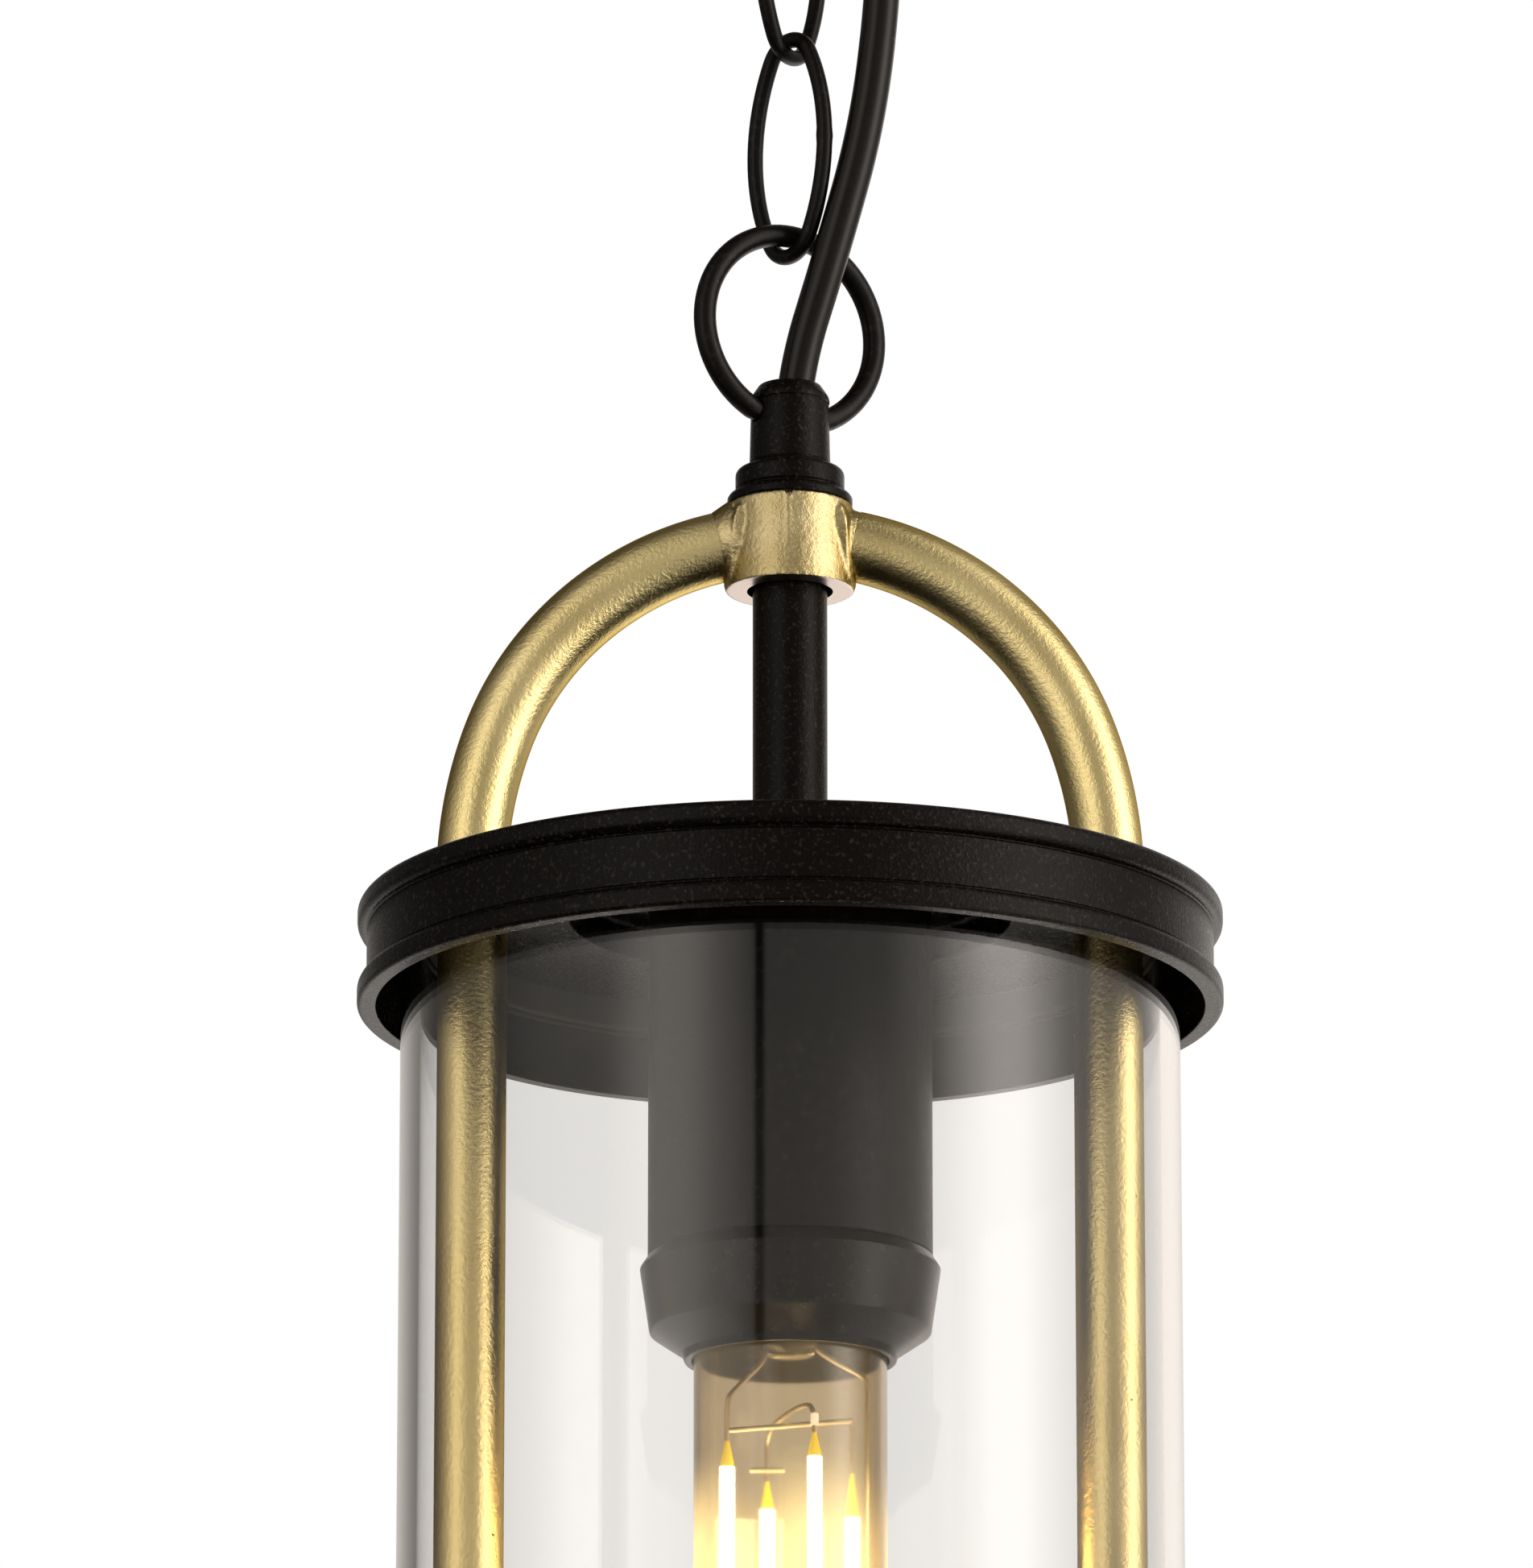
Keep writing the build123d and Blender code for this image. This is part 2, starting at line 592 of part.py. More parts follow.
# Spun cap: a skirt with a bead at each edge, and a plate with a raised middle
with BuildPart() as top_cap:
    with BuildSketch(Plane.XZ):
        with BuildLine():
            ThreePointArc(*bead(cap_top_z - bead_height))
            Line((band_radius, lip_z + bead_height), (band_radius, cap_top_z - bead_height))
            ThreePointArc(*bead(lip_z))
            Polyline(
                (band_radius, lip_z),
                (lip_inner_radius, lip_z),
                (lip_inner_radius, cap_plate_low_z),
                (dome_radius - plate_thickness, cap_plate_low_z),
                (dome_radius - plate_thickness, dome_low_z),
                (rod_radius + slip_gap, dome_low_z),
                (rod_radius + slip_gap, dome_top_z),
                (dome_radius, dome_top_z),
                (dome_radius, cap_top_z),
                (band_radius, cap_top_z),
            )
        make_face()
    revolve(axis=Axis.Z)
    with Locations(*[(x, y, cap_top_z) for x, y in leg_places]):
        Cylinder(tube_radius + slip_gap, 3 * plate_thickness, mode=Mode.SUBTRACT)
top_cap.part.label = "top_cap"
export_step(top_cap.part, "parts/top_cap.step")

# Spun base ring: the same skirt upside down, on an annular plate that the bulb passes through
with BuildPart() as bottom_ring:
    with BuildSketch(Plane.XZ):
        with BuildLine():
            ThreePointArc(*bead(base_low_z))
            Line((band_radius, base_low_z + bead_height), (band_radius, rim_z - bead_height))
            ThreePointArc(*bead(rim_z - bead_height))
            Polyline(
                (band_radius, rim_z),
                (lip_inner_radius, rim_z),
                (lip_inner_radius, base_plate_top_z),
                (base_opening_radius, base_plate_top_z),
                (base_opening_radius, base_low_z),
                (band_radius, base_low_z),
            )
        make_face()
    revolve(axis=Axis.Z)
    with Locations(*[(x, y, base_low_z) for x, y in leg_places]):
        Cylinder(base_screw_radius + slip_gap, 3 * plate_thickness, mode=Mode.SUBTRACT)
bottom_ring.part.label = "bottom_ring"
export_step(bottom_ring.part, "parts/bottom_ring.step")

# Open glass cylinder
with BuildPart() as glass_cylinder:
    with BuildSketch(Plane.XY.offset(glass_low_z)):
        Circle(glass_radius)
        Circle(glass_inner_radius, mode=Mode.SUBTRACT)
    extrude(amount=glass_length)
glass_cylinder.part.label = "glass_cylinder"
export_step(glass_cylinder.part, "parts/glass_cylinder.step")

# Rubber channel over each edge of the glass
for name, seat_z, up in (("upper_gasket", glass_top_z, 1), ("lower_gasket", glass_low_z, -1)):
    with BuildPart() as gasket:
        with BuildSketch(Plane.XY.offset(seat_z + up * gasket_web)):
            Circle(glass_radius + gasket_lip_wall)
            Circle(glass_inner_radius - gasket_lip_wall, mode=Mode.SUBTRACT)
        extrude(amount=-up * (gasket_web + gasket_lip_depth))
        with BuildSketch(Plane.XY.offset(seat_z)):
            Circle(glass_radius)
            Circle(glass_inner_radius, mode=Mode.SUBTRACT)
        extrude(amount=-up * gasket_lip_depth, mode=Mode.SUBTRACT)
    gasket.part.label = name
    export_step(gasket.part, f"parts/{name}.step")

# Turned plug in each tube's lower end, threaded for a screw
with BuildPart() as leg_plugs:
    with BuildSketch(Plane.XY.offset(base_plate_top_z)):
        with Locations(*leg_places):
            Circle(tube_bore_radius)
            Circle(base_screw_radius, mode=Mode.SUBTRACT)
    extrude(amount=plug_length)
leg_plugs.part.label = "leg_plugs"
export_step(leg_plugs.part, "parts/leg_plugs.step")

# Two domed screws that draw the base ring up against the glass
with BuildPart() as base_screws:
    with Locations(*[(x, y, base_low_z) for x, y in leg_places]):
        Cylinder(
            base_screw_head_radius, base_screw_head_height,
            align=(Align.CENTER, Align.CENTER, Align.MAX),
        )
    fillet(base_screws.edges().group_by(Axis.Z)[0], base_screw_head_round)
    with Locations(*[(x, y, base_low_z) for x, y in leg_places]):
        Cylinder(
            base_screw_radius, plate_thickness + base_screw_reach,
            align=(Align.CENTER, Align.CENTER, Align.MIN),
        )
base_screws.part.label = "base_screws"
export_step(base_screws.part, "parts/base_screws.step")

# ---- Lampholder ----

# Drawn metal cup, closed at the top, that hides the holder
with BuildPart() as holder_cup:
    with BuildSketch(Plane.XY.offset(dome_low_z)):
        Circle(cup_radius)
    extrude(amount=cup_low_z - dome_low_z)
    with BuildSketch(Plane.XY.offset(dome_low_z - cup_wall)):
        Circle(cup_radius - cup_wall)
    extrude(amount=cup_low_z - dome_low_z, mode=Mode.SUBTRACT)
    with Locations((0, 0, dome_low_z)):
        Cylinder(rod_radius + slip_gap, 3 * cup_wall, mode=Mode.SUBTRACT)
holder_cup.part.label = "holder_cup"
export_step(holder_cup.part, "parts/holder_cup.step")

with BuildPart() as cap_washer:
    with BuildSketch(Plane.XY.offset(washer_top_z)):
        Circle(washer_radius)
        Circle(rod_radius + slip_gap, mode=Mode.SUBTRACT)
    extrude(amount=-washer_height)
cap_washer.part.label = "cap_washer"
export_step(cap_washer.part, "parts/cap_washer.step")

with BuildPart() as cap_locknut:
    with BuildSketch(Plane.XY.offset(locknut_top_z)):
        RegularPolygon(locknut_flats / 2, 6, major_radius=False)
        Circle(rod_radius + thread_gap, mode=Mode.SUBTRACT)
    extrude(amount=-locknut_height)
cap_locknut.part.label = "cap_locknut"
export_step(cap_locknut.part, "parts/cap_locknut.step")

# Moulded top of the lampholder, screwed on the rod's lower end
with BuildPart() as holder_top:
    with BuildSketch(Plane.XZ):
        Polygon(
            (0, holder_top_z),
            (holder_neck_radius, holder_top_z),
            (holder_radius, holder_top_z - holder_taper_height),
            (holder_radius, holder_body_top_z),
            (0, holder_body_top_z),
            align=None,
        )
    revolve(axis=Axis.Z)
    with Locations((0, 0, holder_top_z)):
        Cylinder(rod_radius + thread_gap, 4 * holder_top_height, mode=Mode.SUBTRACT)
holder_top.part.label = "holder_top"
export_step(holder_top.part, "parts/holder_top.step")

# Moulded body of the lampholder, open below for the bulb
with BuildPart() as holder_body:
    with BuildSketch(Plane.XY.offset(holder_body_top_z)):
        Circle(holder_radius)
    extrude(amount=-holder_body_height)
    with BuildSketch(Plane.XY.offset(shell_top_z)):
        Circle(shell_radius + thread_gap)
    extrude(amount=-holder_body_height, mode=Mode.SUBTRACT)
    with BuildSketch(Plane.XY.offset(shell_top_z - shell_length)):
        Circle(bulb_radius + 2 * running_gap)
    extrude(amount=-holder_body_height, mode=Mode.SUBTRACT)
holder_body.part.label = "holder_body"
export_step(holder_body.part, "parts/holder_body.step")

# Screw shell, with a flange that is fixed under the body's floor
with BuildPart() as screw_shell:
    with BuildSketch(Plane.XY.offset(shell_top_z)):
        Circle(shell_radius)
        Circle(contact_radius + 2 * contact_height, mode=Mode.SUBTRACT)
    extrude(amount=-shell_wall)
    with BuildSketch(Plane.XY.offset(shell_top_z)):
        Circle(shell_radius)
        Circle(shell_radius - shell_wall, mode=Mode.SUBTRACT)
    extrude(amount=-shell_length)
screw_shell.part.label = "screw_shell"
export_step(screw_shell.part, "parts/screw_shell.step")

with BuildPart() as centre_contact:
    with Locations((0, 0, shell_top_z)):
        Cylinder(contact_radius, contact_height, align=(Align.CENTER, Align.CENTER, Align.MAX))
        Cylinder(contact_tip_radius, contact_reach, align=(Align.CENTER, Align.CENTER, Align.MAX))
centre_contact.part.label = "centre_contact"
export_step(centre_contact.part, "parts/centre_contact.step")

# Flared ring that turns on the holder's body, with a lip round the bulb's neck
with BuildPart() as holder_skirt:
    with BuildSketch(Plane.XZ):
        Polygon(
            (holder_radius + running_gap, skirt_top_z),
            (skirt_top_radius, skirt_top_z),
            (skirt_flare_radius, skirt_top_z - skirt_flare_drop),
            (skirt_taper_radius, skirt_low_z + skirt_taper_height),
            (skirt_chamfer_radius, skirt_low_z + skirt_chamfer_height),
            (skirt_lip_radius, skirt_low_z),
            (skirt_bore_radius, skirt_low_z),
            (skirt_bore_radius, skirt_low_z + skirt_lip_depth),
            (holder_radius + running_gap, skirt_low_z + skirt_step_height),
            align=None,
        )
    revolve(axis=Axis.Z)
holder_skirt.part.label = "holder_skirt"
export_step(holder_skirt.part, "parts/holder_skirt.step")

# ---- Bulb ----

with BuildPart() as bulb_contact:
    with Locations((0, 0, bulb_top_z)):
        Cylinder(solder_radius, solder_height, align=(Align.CENTER, Align.CENTER, Align.MAX))
    fillet(bulb_contact.edges().group_by(Axis.Z)[-1], solder_height / 2)
bulb_contact.part.label = "bulb_contact"
export_step(bulb_contact.part, "parts/bulb_contact.step")

with BuildPart() as bulb_insulator:
    with Locations((0, 0, bulb_cap_top_z)):
        Cone(
            bulb_cap_radius - 2 * bulb_cap_wall, insulator_top_radius, insulator_height,
            align=(Align.CENTER, Align.CENTER, Align.MIN),
        )
bulb_insulator.part.label = "bulb_insulator"
export_step(bulb_insulator.part, "parts/bulb_insulator.step")

# Rolled metal cap, closed by a web under the insulator
with BuildPart() as bulb_cap:
    with BuildSketch(Plane.XY.offset(bulb_cap_top_z)):
        Circle(bulb_cap_radius)
    extrude(amount=-bulb_cap_length)
    fillet(bulb_cap.edges().group_by(Axis.Z)[-1], bulb_cap_wall)
    with BuildSketch(Plane.XY.offset(bulb_cap_top_z - bulb_cap_wall)):
        Circle(bulb_cap_radius - bulb_cap_wall)
    extrude(amount=-bulb_cap_length, mode=Mode.SUBTRACT)
bulb_cap.part.label = "bulb_cap"
export_step(bulb_cap.part, "parts/bulb_cap.step")

# Blown envelope: a neck inside the cap, a shoulder, a long tube and a round end
with BuildPart() as bulb_glass:
    for radius, neck, low, mode in (
        (bulb_radius, bulb_neck_radius, bulb_low_z, Mode.ADD),
        (bulb_inner_radius, bulb_neck_radius - bulb_wall, bulb_low_z + bulb_wall, Mode.SUBTRACT),
    ):
        with BuildSketch(Plane.XZ):
            with BuildLine():
                shoulder_z = bulb_rim_z - bulb_shoulder_drop
                Polyline((0, low), (0, stem_top_z), (neck, stem_top_z), (neck, bulb_rim_z))
                Spline(
                    (neck, bulb_rim_z), (radius, shoulder_z), tangents=((0, -1), (0, -1))
                )
                Line((radius, shoulder_z), (radius, low + radius))
                CenterArc((0, low + radius), radius, 0, -90)
            make_face()
        revolve(axis=Axis.Z, mode=mode)
bulb_glass.part.label = "bulb_glass"
export_step(bulb_glass.part, "parts/bulb_glass.step")

# Glass stem in the neck: a flared foot sealed to the neck's rim and a solid pinch below it
with BuildPart() as bulb_stem:
    with Locations((0, 0, stem_top_z)):
        Cylinder(
            bulb_neck_radius - bulb_wall, bulb_wall, align=(Align.CENTER, Align.CENTER, Align.MAX)
        )
        Cone(
            stem_glass_radius, stem_flare_radius, stem_glass_length / 2,
            align=(Align.CENTER, Align.CENTER, Align.MAX),
        )
        Cylinder(
            stem_glass_radius, stem_glass_length, align=(Align.CENTER, Align.CENTER, Align.MAX)
        )
bulb_stem.part.label = "bulb_stem"
export_step(bulb_stem.part, "parts/bulb_stem.step")

# Four straight filaments in a square, each next one a little lower
filament_angles = [filament_first_angle + 90 * place for place in range(4)]
filament_places = [
    (filament_circle * cos(radians(angle)), filament_circle * sin(radians(angle)))
    for angle in filament_angles
]
with BuildPart() as bulb_filaments:
    for place, (x, y) in enumerate(filament_places):
        with Locations((x, y, filament_top_z - filament_stagger * (place // 2))):
            Cylinder(
                filament_radius, filament_length, align=(Align.CENTER, Align.CENTER, Align.MAX)
            )
bulb_filaments.part.label = "bulb_filaments"
export_step(bulb_filaments.part, "parts/bulb_filaments.step")

# Nickel wires: two bridges across the filaments' tops, two across their ends, a lead from the
# stem to the first filament and a long lead down the wall to the lower bridge
long_lead_x = bulb_inner_radius - long_lead_room
lead_x = stem_glass_radius - lead_edge_room
long_low_z = filament_low_z - bridge_rise
with BuildPart() as bulb_leads:
    wires = []
    for place in range(2):
        (x1, y1), (x2, y2) = filament_places[place], filament_places[place + 2]
        over_z = filament_top_z + bridge_rise + bridge_step * place
        under_z = filament_low_z - bridge_rise - bridge_step * place
        wires.append([
            (x1, y1, filament_top_z), (x1, y1, over_z),
            (x2, y2, over_z), (x2, y2, filament_top_z - filament_stagger),
        ])
        wires.append([
            (x1, y1, filament_top_z - filament_length), (x1, y1, under_z),
            (x2, y2, under_z), (x2, y2, filament_low_z),
        ])
    first_x, first_y = filament_places[0]
    wires.append([
        (-lead_x, 0, stem_low_z), (-lead_x, 0, stem_low_z - lead_straight),
        (first_x, first_y, stem_low_z - short_lead_drop), (first_x, first_y, filament_top_z),
    ])
    wires.append([
        (lead_x, 0, stem_low_z), (lead_x, 0, stem_low_z - lead_straight),
        (long_lead_x, 0, stem_low_z - long_lead_drop), (long_lead_x, 0, long_low_z),
        (0, 0, long_low_z),
    ])
    for points in wires:
        with BuildLine() as wire_path:
            FilletPolyline(*points, radius=lead_bend)
        with BuildSketch(Plane(origin=wire_path.line @ 0, z_dir=wire_path.line % 0)):
            Circle(lead_radius)
        sweep(path=wire_path.wires()[0])
bulb_leads.part.label = "bulb_leads"
export_step(bulb_leads.part, "parts/bulb_leads.step")

# ---- Flex ----

# The flex leaves the neck upright, leans out past the ring and the lowest link, straightens
# beside the chain and goes up through the grip. Its points are in millimetres, from the neck up.
cable_points = [
    (0.0, 0.0, -191.0),
    (0.0, 0.0, -177.7),
    (6.9, -4.2, -155.7),
    (12.1, -5.6, -136.5),
    (14.6, -5.6, -116.0),
    (15.4, -5.3, -93.0),
    (15.0, -5.5, -69.0),
    (16.0, -5.0, -43.0),
    (16.0, -5.0, -18.0),
]
corners = [Vector(*point) for point in cable_points]
cable_bends = []
for before, corner, after in zip(corners, corners[1:], corners[2:]):
    turn = radians((corner - before).get_angle(after - corner))
    shorter = min((corner - before).length, (after - corner).length)
    cable_bends.append(0.45 * shorter / tan(turn / 2))
print("cable bend radii", [round(bend, 1) for bend in cable_bends])

with BuildPart() as supply_cable:
    with BuildLine() as cable_path:
        FilletPolyline(*cable_points, radius=cable_bends)
    with BuildSketch(Plane(origin=cable_path.line @ 0, z_dir=cable_path.line % 0)):
        Circle(cable_radius)
    sweep(path=cable_path.wires()[0])
print("cable length", round(cable_path.wires()[0].length, 1), "volume / section",
      round(supply_cable.part.volume / (pi * cable_radius**2), 1))
supply_cable.part.label = "supply_cable"
export_step(supply_cable.part, "parts/supply_cable.step")

# The same flex inside the rod, down to the lampholder
with BuildPart() as inner_cable:
    with Locations(cable_points[0]):
        Cylinder(
            cable_radius, cable_points[0][2] - rod_low_z,
            align=(Align.CENTER, Align.CENTER, Align.MAX),
        )
inner_cable.part.label = "inner_cable"
export_step(inner_cable.part, "parts/inner_cable.step")

# Three cores from the flex's upper end, round the hook's shank to the connector
core_end_x = block_x + block_length / 2 - core_strip
flex_end_z = cable_points[-1][2]
core_routes = [
    [(15.0, -6.0, flex_end_z), (15.0, -6.0, -13.0), (4.0, -11.0, -12.0), (-7.5, -7.0, pole_z)],
    [(16.8, -6.0, flex_end_z), (16.8, -6.0, -10.5), (2.0, -9.5, -9.5), (-9.5, 0.0, pole_z)],
    [(16.0, -3.6, flex_end_z), (16.0, -3.6, -12.0), (6.0, 10.5, -10.5), (-7.5, 7.0, pole_z)],
]
with BuildPart() as core_wires:
    for route, pole in zip(core_routes, (-1, 0, 1)):
        with BuildLine() as core_path:
            FilletPolyline(*route, (core_end_x, pole * block_pole_pitch, pole_z), radius=core_bend)
        with BuildSketch(Plane(origin=core_path.line @ 0, z_dir=core_path.line % 0)):
            Circle(core_radius)
        sweep(path=core_path.wires()[0])
core_wires.part.label = "core_wires"
export_step(core_wires.part, "parts/core_wires.step")
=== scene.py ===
from math import atan2, cos, pi, radians, sin, sqrt, tan

import bmesh
import bpy
from mathutils import Matrix, Vector


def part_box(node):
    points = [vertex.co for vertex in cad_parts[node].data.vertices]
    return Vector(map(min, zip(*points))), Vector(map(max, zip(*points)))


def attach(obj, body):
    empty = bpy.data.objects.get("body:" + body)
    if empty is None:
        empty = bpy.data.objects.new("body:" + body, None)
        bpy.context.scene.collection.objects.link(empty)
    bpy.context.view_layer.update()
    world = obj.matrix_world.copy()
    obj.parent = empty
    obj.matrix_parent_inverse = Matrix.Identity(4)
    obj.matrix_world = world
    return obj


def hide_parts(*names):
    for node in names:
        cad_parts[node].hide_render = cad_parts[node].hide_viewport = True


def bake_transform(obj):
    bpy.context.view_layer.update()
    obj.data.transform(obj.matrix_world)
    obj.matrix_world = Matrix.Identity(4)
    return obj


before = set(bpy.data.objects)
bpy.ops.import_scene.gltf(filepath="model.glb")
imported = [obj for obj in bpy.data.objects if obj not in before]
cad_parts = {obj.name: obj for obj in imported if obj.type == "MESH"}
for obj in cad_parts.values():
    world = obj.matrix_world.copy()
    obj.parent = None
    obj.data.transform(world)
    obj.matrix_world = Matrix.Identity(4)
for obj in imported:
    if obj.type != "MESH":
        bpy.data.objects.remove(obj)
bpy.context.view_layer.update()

# ----------------------------------------
# Ceiling rose. A cup spun from thin steel sheet, with a rolled rim that sits against the
# ceiling, and powder coated black. Two thumb screws hold it to the bracket inside.
same_spot = 1e-6
soft_corner = radians(35)


def feed(node, **inputs):
    """Sets a node's inputs, each to a value, to a socket, or to what another node puts out.

    An input goes by its name, or by its number after an underscore.
    """
    for name, value in inputs.items():
        socket = node.inputs[int(name[1:]) if name[1:].isdigit() else name.replace("_", " ")]
        if isinstance(value, bpy.types.Node):
            value = next(output for output in value.outputs if output.enabled)
        if isinstance(value, bpy.types.NodeSocket):
            node.id_data.links.new(value, socket)
        else:
            socket.default_value = (*value, 1.0) if socket.type == "RGBA" else value
    return node


def add(tree, kind, settings=None, **inputs):
    """A new node of this kind in a node tree, with its settings and inputs."""
    made = tree.nodes.new("ShaderNode" + kind)
    for setting, value in (settings or {}).items():
        setattr(made, setting, value)
    return feed(made, **inputs)


def work_out(tree, operation, first, second, clamped=False):
    """One step of arithmetic on two numbers."""
    return add(tree, "Math", {"operation": operation, "use_clamp": clamped}, _0=first, _1=second)


def spread(tree, value, span, onto, curve="LINEAR"):
    """A number carried from one span onto another, and held at both ends."""
    return add(
        tree, "MapRange", {"interpolation_type": curve}, Value=value, From_Min=span[0],
        From_Max=span[1], To_Min=onto[0], To_Max=onto[1],
    )


def mixed(tree, share, first, second, way="MIX"):
    """A colour between two others."""
    return add(tree, "Mix", {"data_type": "RGBA", "blend_type": way}, _0=share, _6=first, _7=second)


def on_piece(tree, stretch=None):
    """The place on a piece in its own coordinates, stretched along an axis if asked."""
    place = add(tree, "TexCoord").outputs["Object"]
    return add(tree, "Mapping", Vector=place, Scale=stretch) if stretch else place


def noise(tree, scale, detail=2.0, roughness=0.5, place=None):
    """Soft noise over a piece."""
    place = on_piece(tree) if place is None else place
    return add(tree, "TexNoise", Vector=place, Scale=scale, Detail=detail, Roughness=roughness)


def group(name, inputs, outputs):
    """An empty shader node group with these named number inputs and these named outputs."""
    tree = bpy.data.node_groups.new(name, "ShaderNodeTree")
    for title, value in inputs.items():
        socket = tree.interface.new_socket(title, in_out="INPUT", socket_type="NodeSocketFloat")
        socket.default_value = value
    for title in outputs:
        tree.interface.new_socket(title, in_out="OUTPUT", socket_type="NodeSocketFloat")
    return tree, tree.nodes.new("NodeGroupInput").outputs, tree.nodes.new("NodeGroupOutput")


def material(name):
    """A new material, its node tree and its shader."""
    made = bpy.data.materials.new(name)
    made.use_nodes = True
    return made, made.node_tree, made.node_tree.nodes["Principled BSDF"]


def skin(shader, tint, gloss, height, bump, depth):
    """Gives a shader its tint, its gloss and its raised grain."""
    dimple = add(shader.id_data, "Bump", Strength=bump, Distance=depth, Height=height)
    feed(shader, Base_Color=tint, Roughness=gloss, Normal=dimple)


# Powder coat: a fine pebbled skin, with a few coarser specks that catch the light
coat_tree, coat_in, coat_out = group(
    "coat_grain", {"Grain": 2600.0, "Specks": 900.0}, ["Height", "Speck"]
)
coat_place = on_piece(coat_tree)
coat_fine = noise(coat_tree, coat_in["Grain"], 3.0, 0.6, coat_place)
coat_coarse = noise(coat_tree, coat_in["Specks"], place=coat_place)
feed(
    coat_out, Height=work_out(coat_tree, "ADD", coat_fine, coat_coarse),
    Speck=spread(coat_tree, coat_coarse, (0.56, 0.74), (0.0, 1.0)),
)


def coated(name, colour, speck_colour, roughness, bump, shine, grain=2600.0, specks=900.0):
    """A black coat on metal or a moulding: its grain is in the normal, colour and gloss."""
    speck_polish = 0.12
    finish, tree, shader = material(name)
    coat = add(tree, "Group", {"node_tree": coat_tree}, Grain=grain, Specks=specks).outputs
    tint = mixed(tree, coat["Speck"], colour, speck_colour)
    gloss = spread(tree, coat["Speck"], (0.0, 1.0), (roughness, roughness - speck_polish))
    skin(shader, tint, gloss, coat["Height"], bump, depth=0.0002)
    feed(shader, Specular_IOR_Level=shine)
    return finish


def rounded(corners, closed=False, steps=5):
    """The points of an outline through corners (r, z, rounding), with a tangent arc at each."""
    points = []
    count = len(corners)
    for place, corner in enumerate(corners):
        here, rounding = Vector(corner[:2]), corner[2] if len(corner) > 2 else 0.0
        if not rounding or (not closed and place in (0, count - 1)):
            points.append(here)
            continue
        back = (Vector(corners[place - 1][:2]) - here).normalized()
        on = (Vector(corners[(place + 1) % count][:2]) - here).normalized()
        half = back.angle(on) / 2
        centre = here + (back + on).normalized() * (rounding / sin(half))
        first = here + back * (rounding / tan(half)) - centre
        last = here + on * (rounding / tan(half)) - centre
        sweep = first.angle_signed(last)
        for step in range(steps + 1):
            points.append(centre + Matrix.Rotation(-sweep * step / steps, 2) @ first)
    return points


def turned(corners, closed=False, facets=160):
    """A bmesh turned about the lantern's axis from an outline of (r, z, rounding) corners."""
    work = bmesh.new()
    verts = [work.verts.new((point[0], 0, point[1])) for point in rounded(corners, closed)]
    ends = zip(verts, verts[1:] + verts[:1]) if closed else zip(verts, verts[1:])
    edges = [work.edges.new(pair) for pair in ends]
    bmesh.ops.spin(
        work, geom=verts + edges, cent=(0, 0, 0), axis=(0, 0, 1), dvec=(0, 0, 0),
        angle=2 * pi, steps=facets, use_merge=True, use_duplicate=False,
    )
    return work


def mesh_of(name, work):
    """The mesh of a finished bmesh."""
    mesh = bpy.data.meshes.new(name)
    work.to_mesh(mesh)
    work.free()
    return mesh


def put_in_scene(name, data):
    """A new object in the scene."""
    made = bpy.data.objects.new(name, data)
    bpy.context.collection.objects.link(made)
    return made


def shade(mesh, crease=soft_corner):
    """Shades a mesh smooth, except across edges that turn by more than its crease."""
    mesh.shade_smooth()
    mesh.set_sharp_from_angle(angle=crease)


def even(piece):
    """Lets the larger faces decide the shading beside each rounded edge."""
    piece.modifiers.new("even_normals", "WEIGHTED_NORMAL").keep_sharp = True


def fit(name, work, finish, body, slot, *nodes, crease=soft_corner):
    """Makes a piece of a finished bmesh: it rides on its body and replaces these CAD nodes."""
    bmesh.ops.remove_doubles(work, verts=work.verts, dist=same_spot)
    bmesh.ops.recalc_face_normals(work, faces=work.faces)
    mesh = mesh_of(name, work)
    mesh.materials.append(finish)
    shade(mesh, crease)
    piece = put_in_scene(name, mesh)
    even(piece)
    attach(piece, body)
    if nodes:
        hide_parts(*nodes)
    return piece


steel_coat = coated(
    "steel_coat", (0.0020, 0.0012, 0.0009), (0.019, 0.0145, 0.0115), 0.30, 0.36, 0.10, specks=1600.0
)

rose_low, rose_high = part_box("ceiling_rose")
rose_radius = rose_high.x
rose_sheet = 0.0015
rose_dish_step = 0.0012
rose_side = 0.0004
rim_roll = 0.0011
rose_wall_foot = rose_low.z + rose_dish_step
fit("ceiling_rose_cup", turned([
    (0.0, rose_low.z),
    (rose_radius * 0.62, rose_low.z, 0.004),
    (rose_radius * 0.66, rose_wall_foot, 0.002),
    (rose_radius, rose_wall_foot, 0.009),
    (rose_radius - rose_side, rose_high.z - 3 * rim_roll, rim_roll),
    (rose_radius, rose_high.z - 2 * rim_roll, rim_roll / 2),
    (rose_radius, rose_high.z, rim_roll / 2),
    (rose_radius - 2 * rim_roll, rose_high.z, rim_roll / 2),
    (rose_radius - rose_sheet - rose_side, rose_high.z - 3 * rim_roll, rim_roll),
    (rose_radius - rose_sheet, rose_wall_foot + rose_sheet, 0.0075),
    (0.0, rose_low.z + rose_sheet),
]), steel_coat, "ceiling", "black_steel", "ceiling_rose")

# ----------------------------------------
# Rose thumb screws. Two brass screws with knurled round heads, run through the rose's side
# into the bracket's ears.

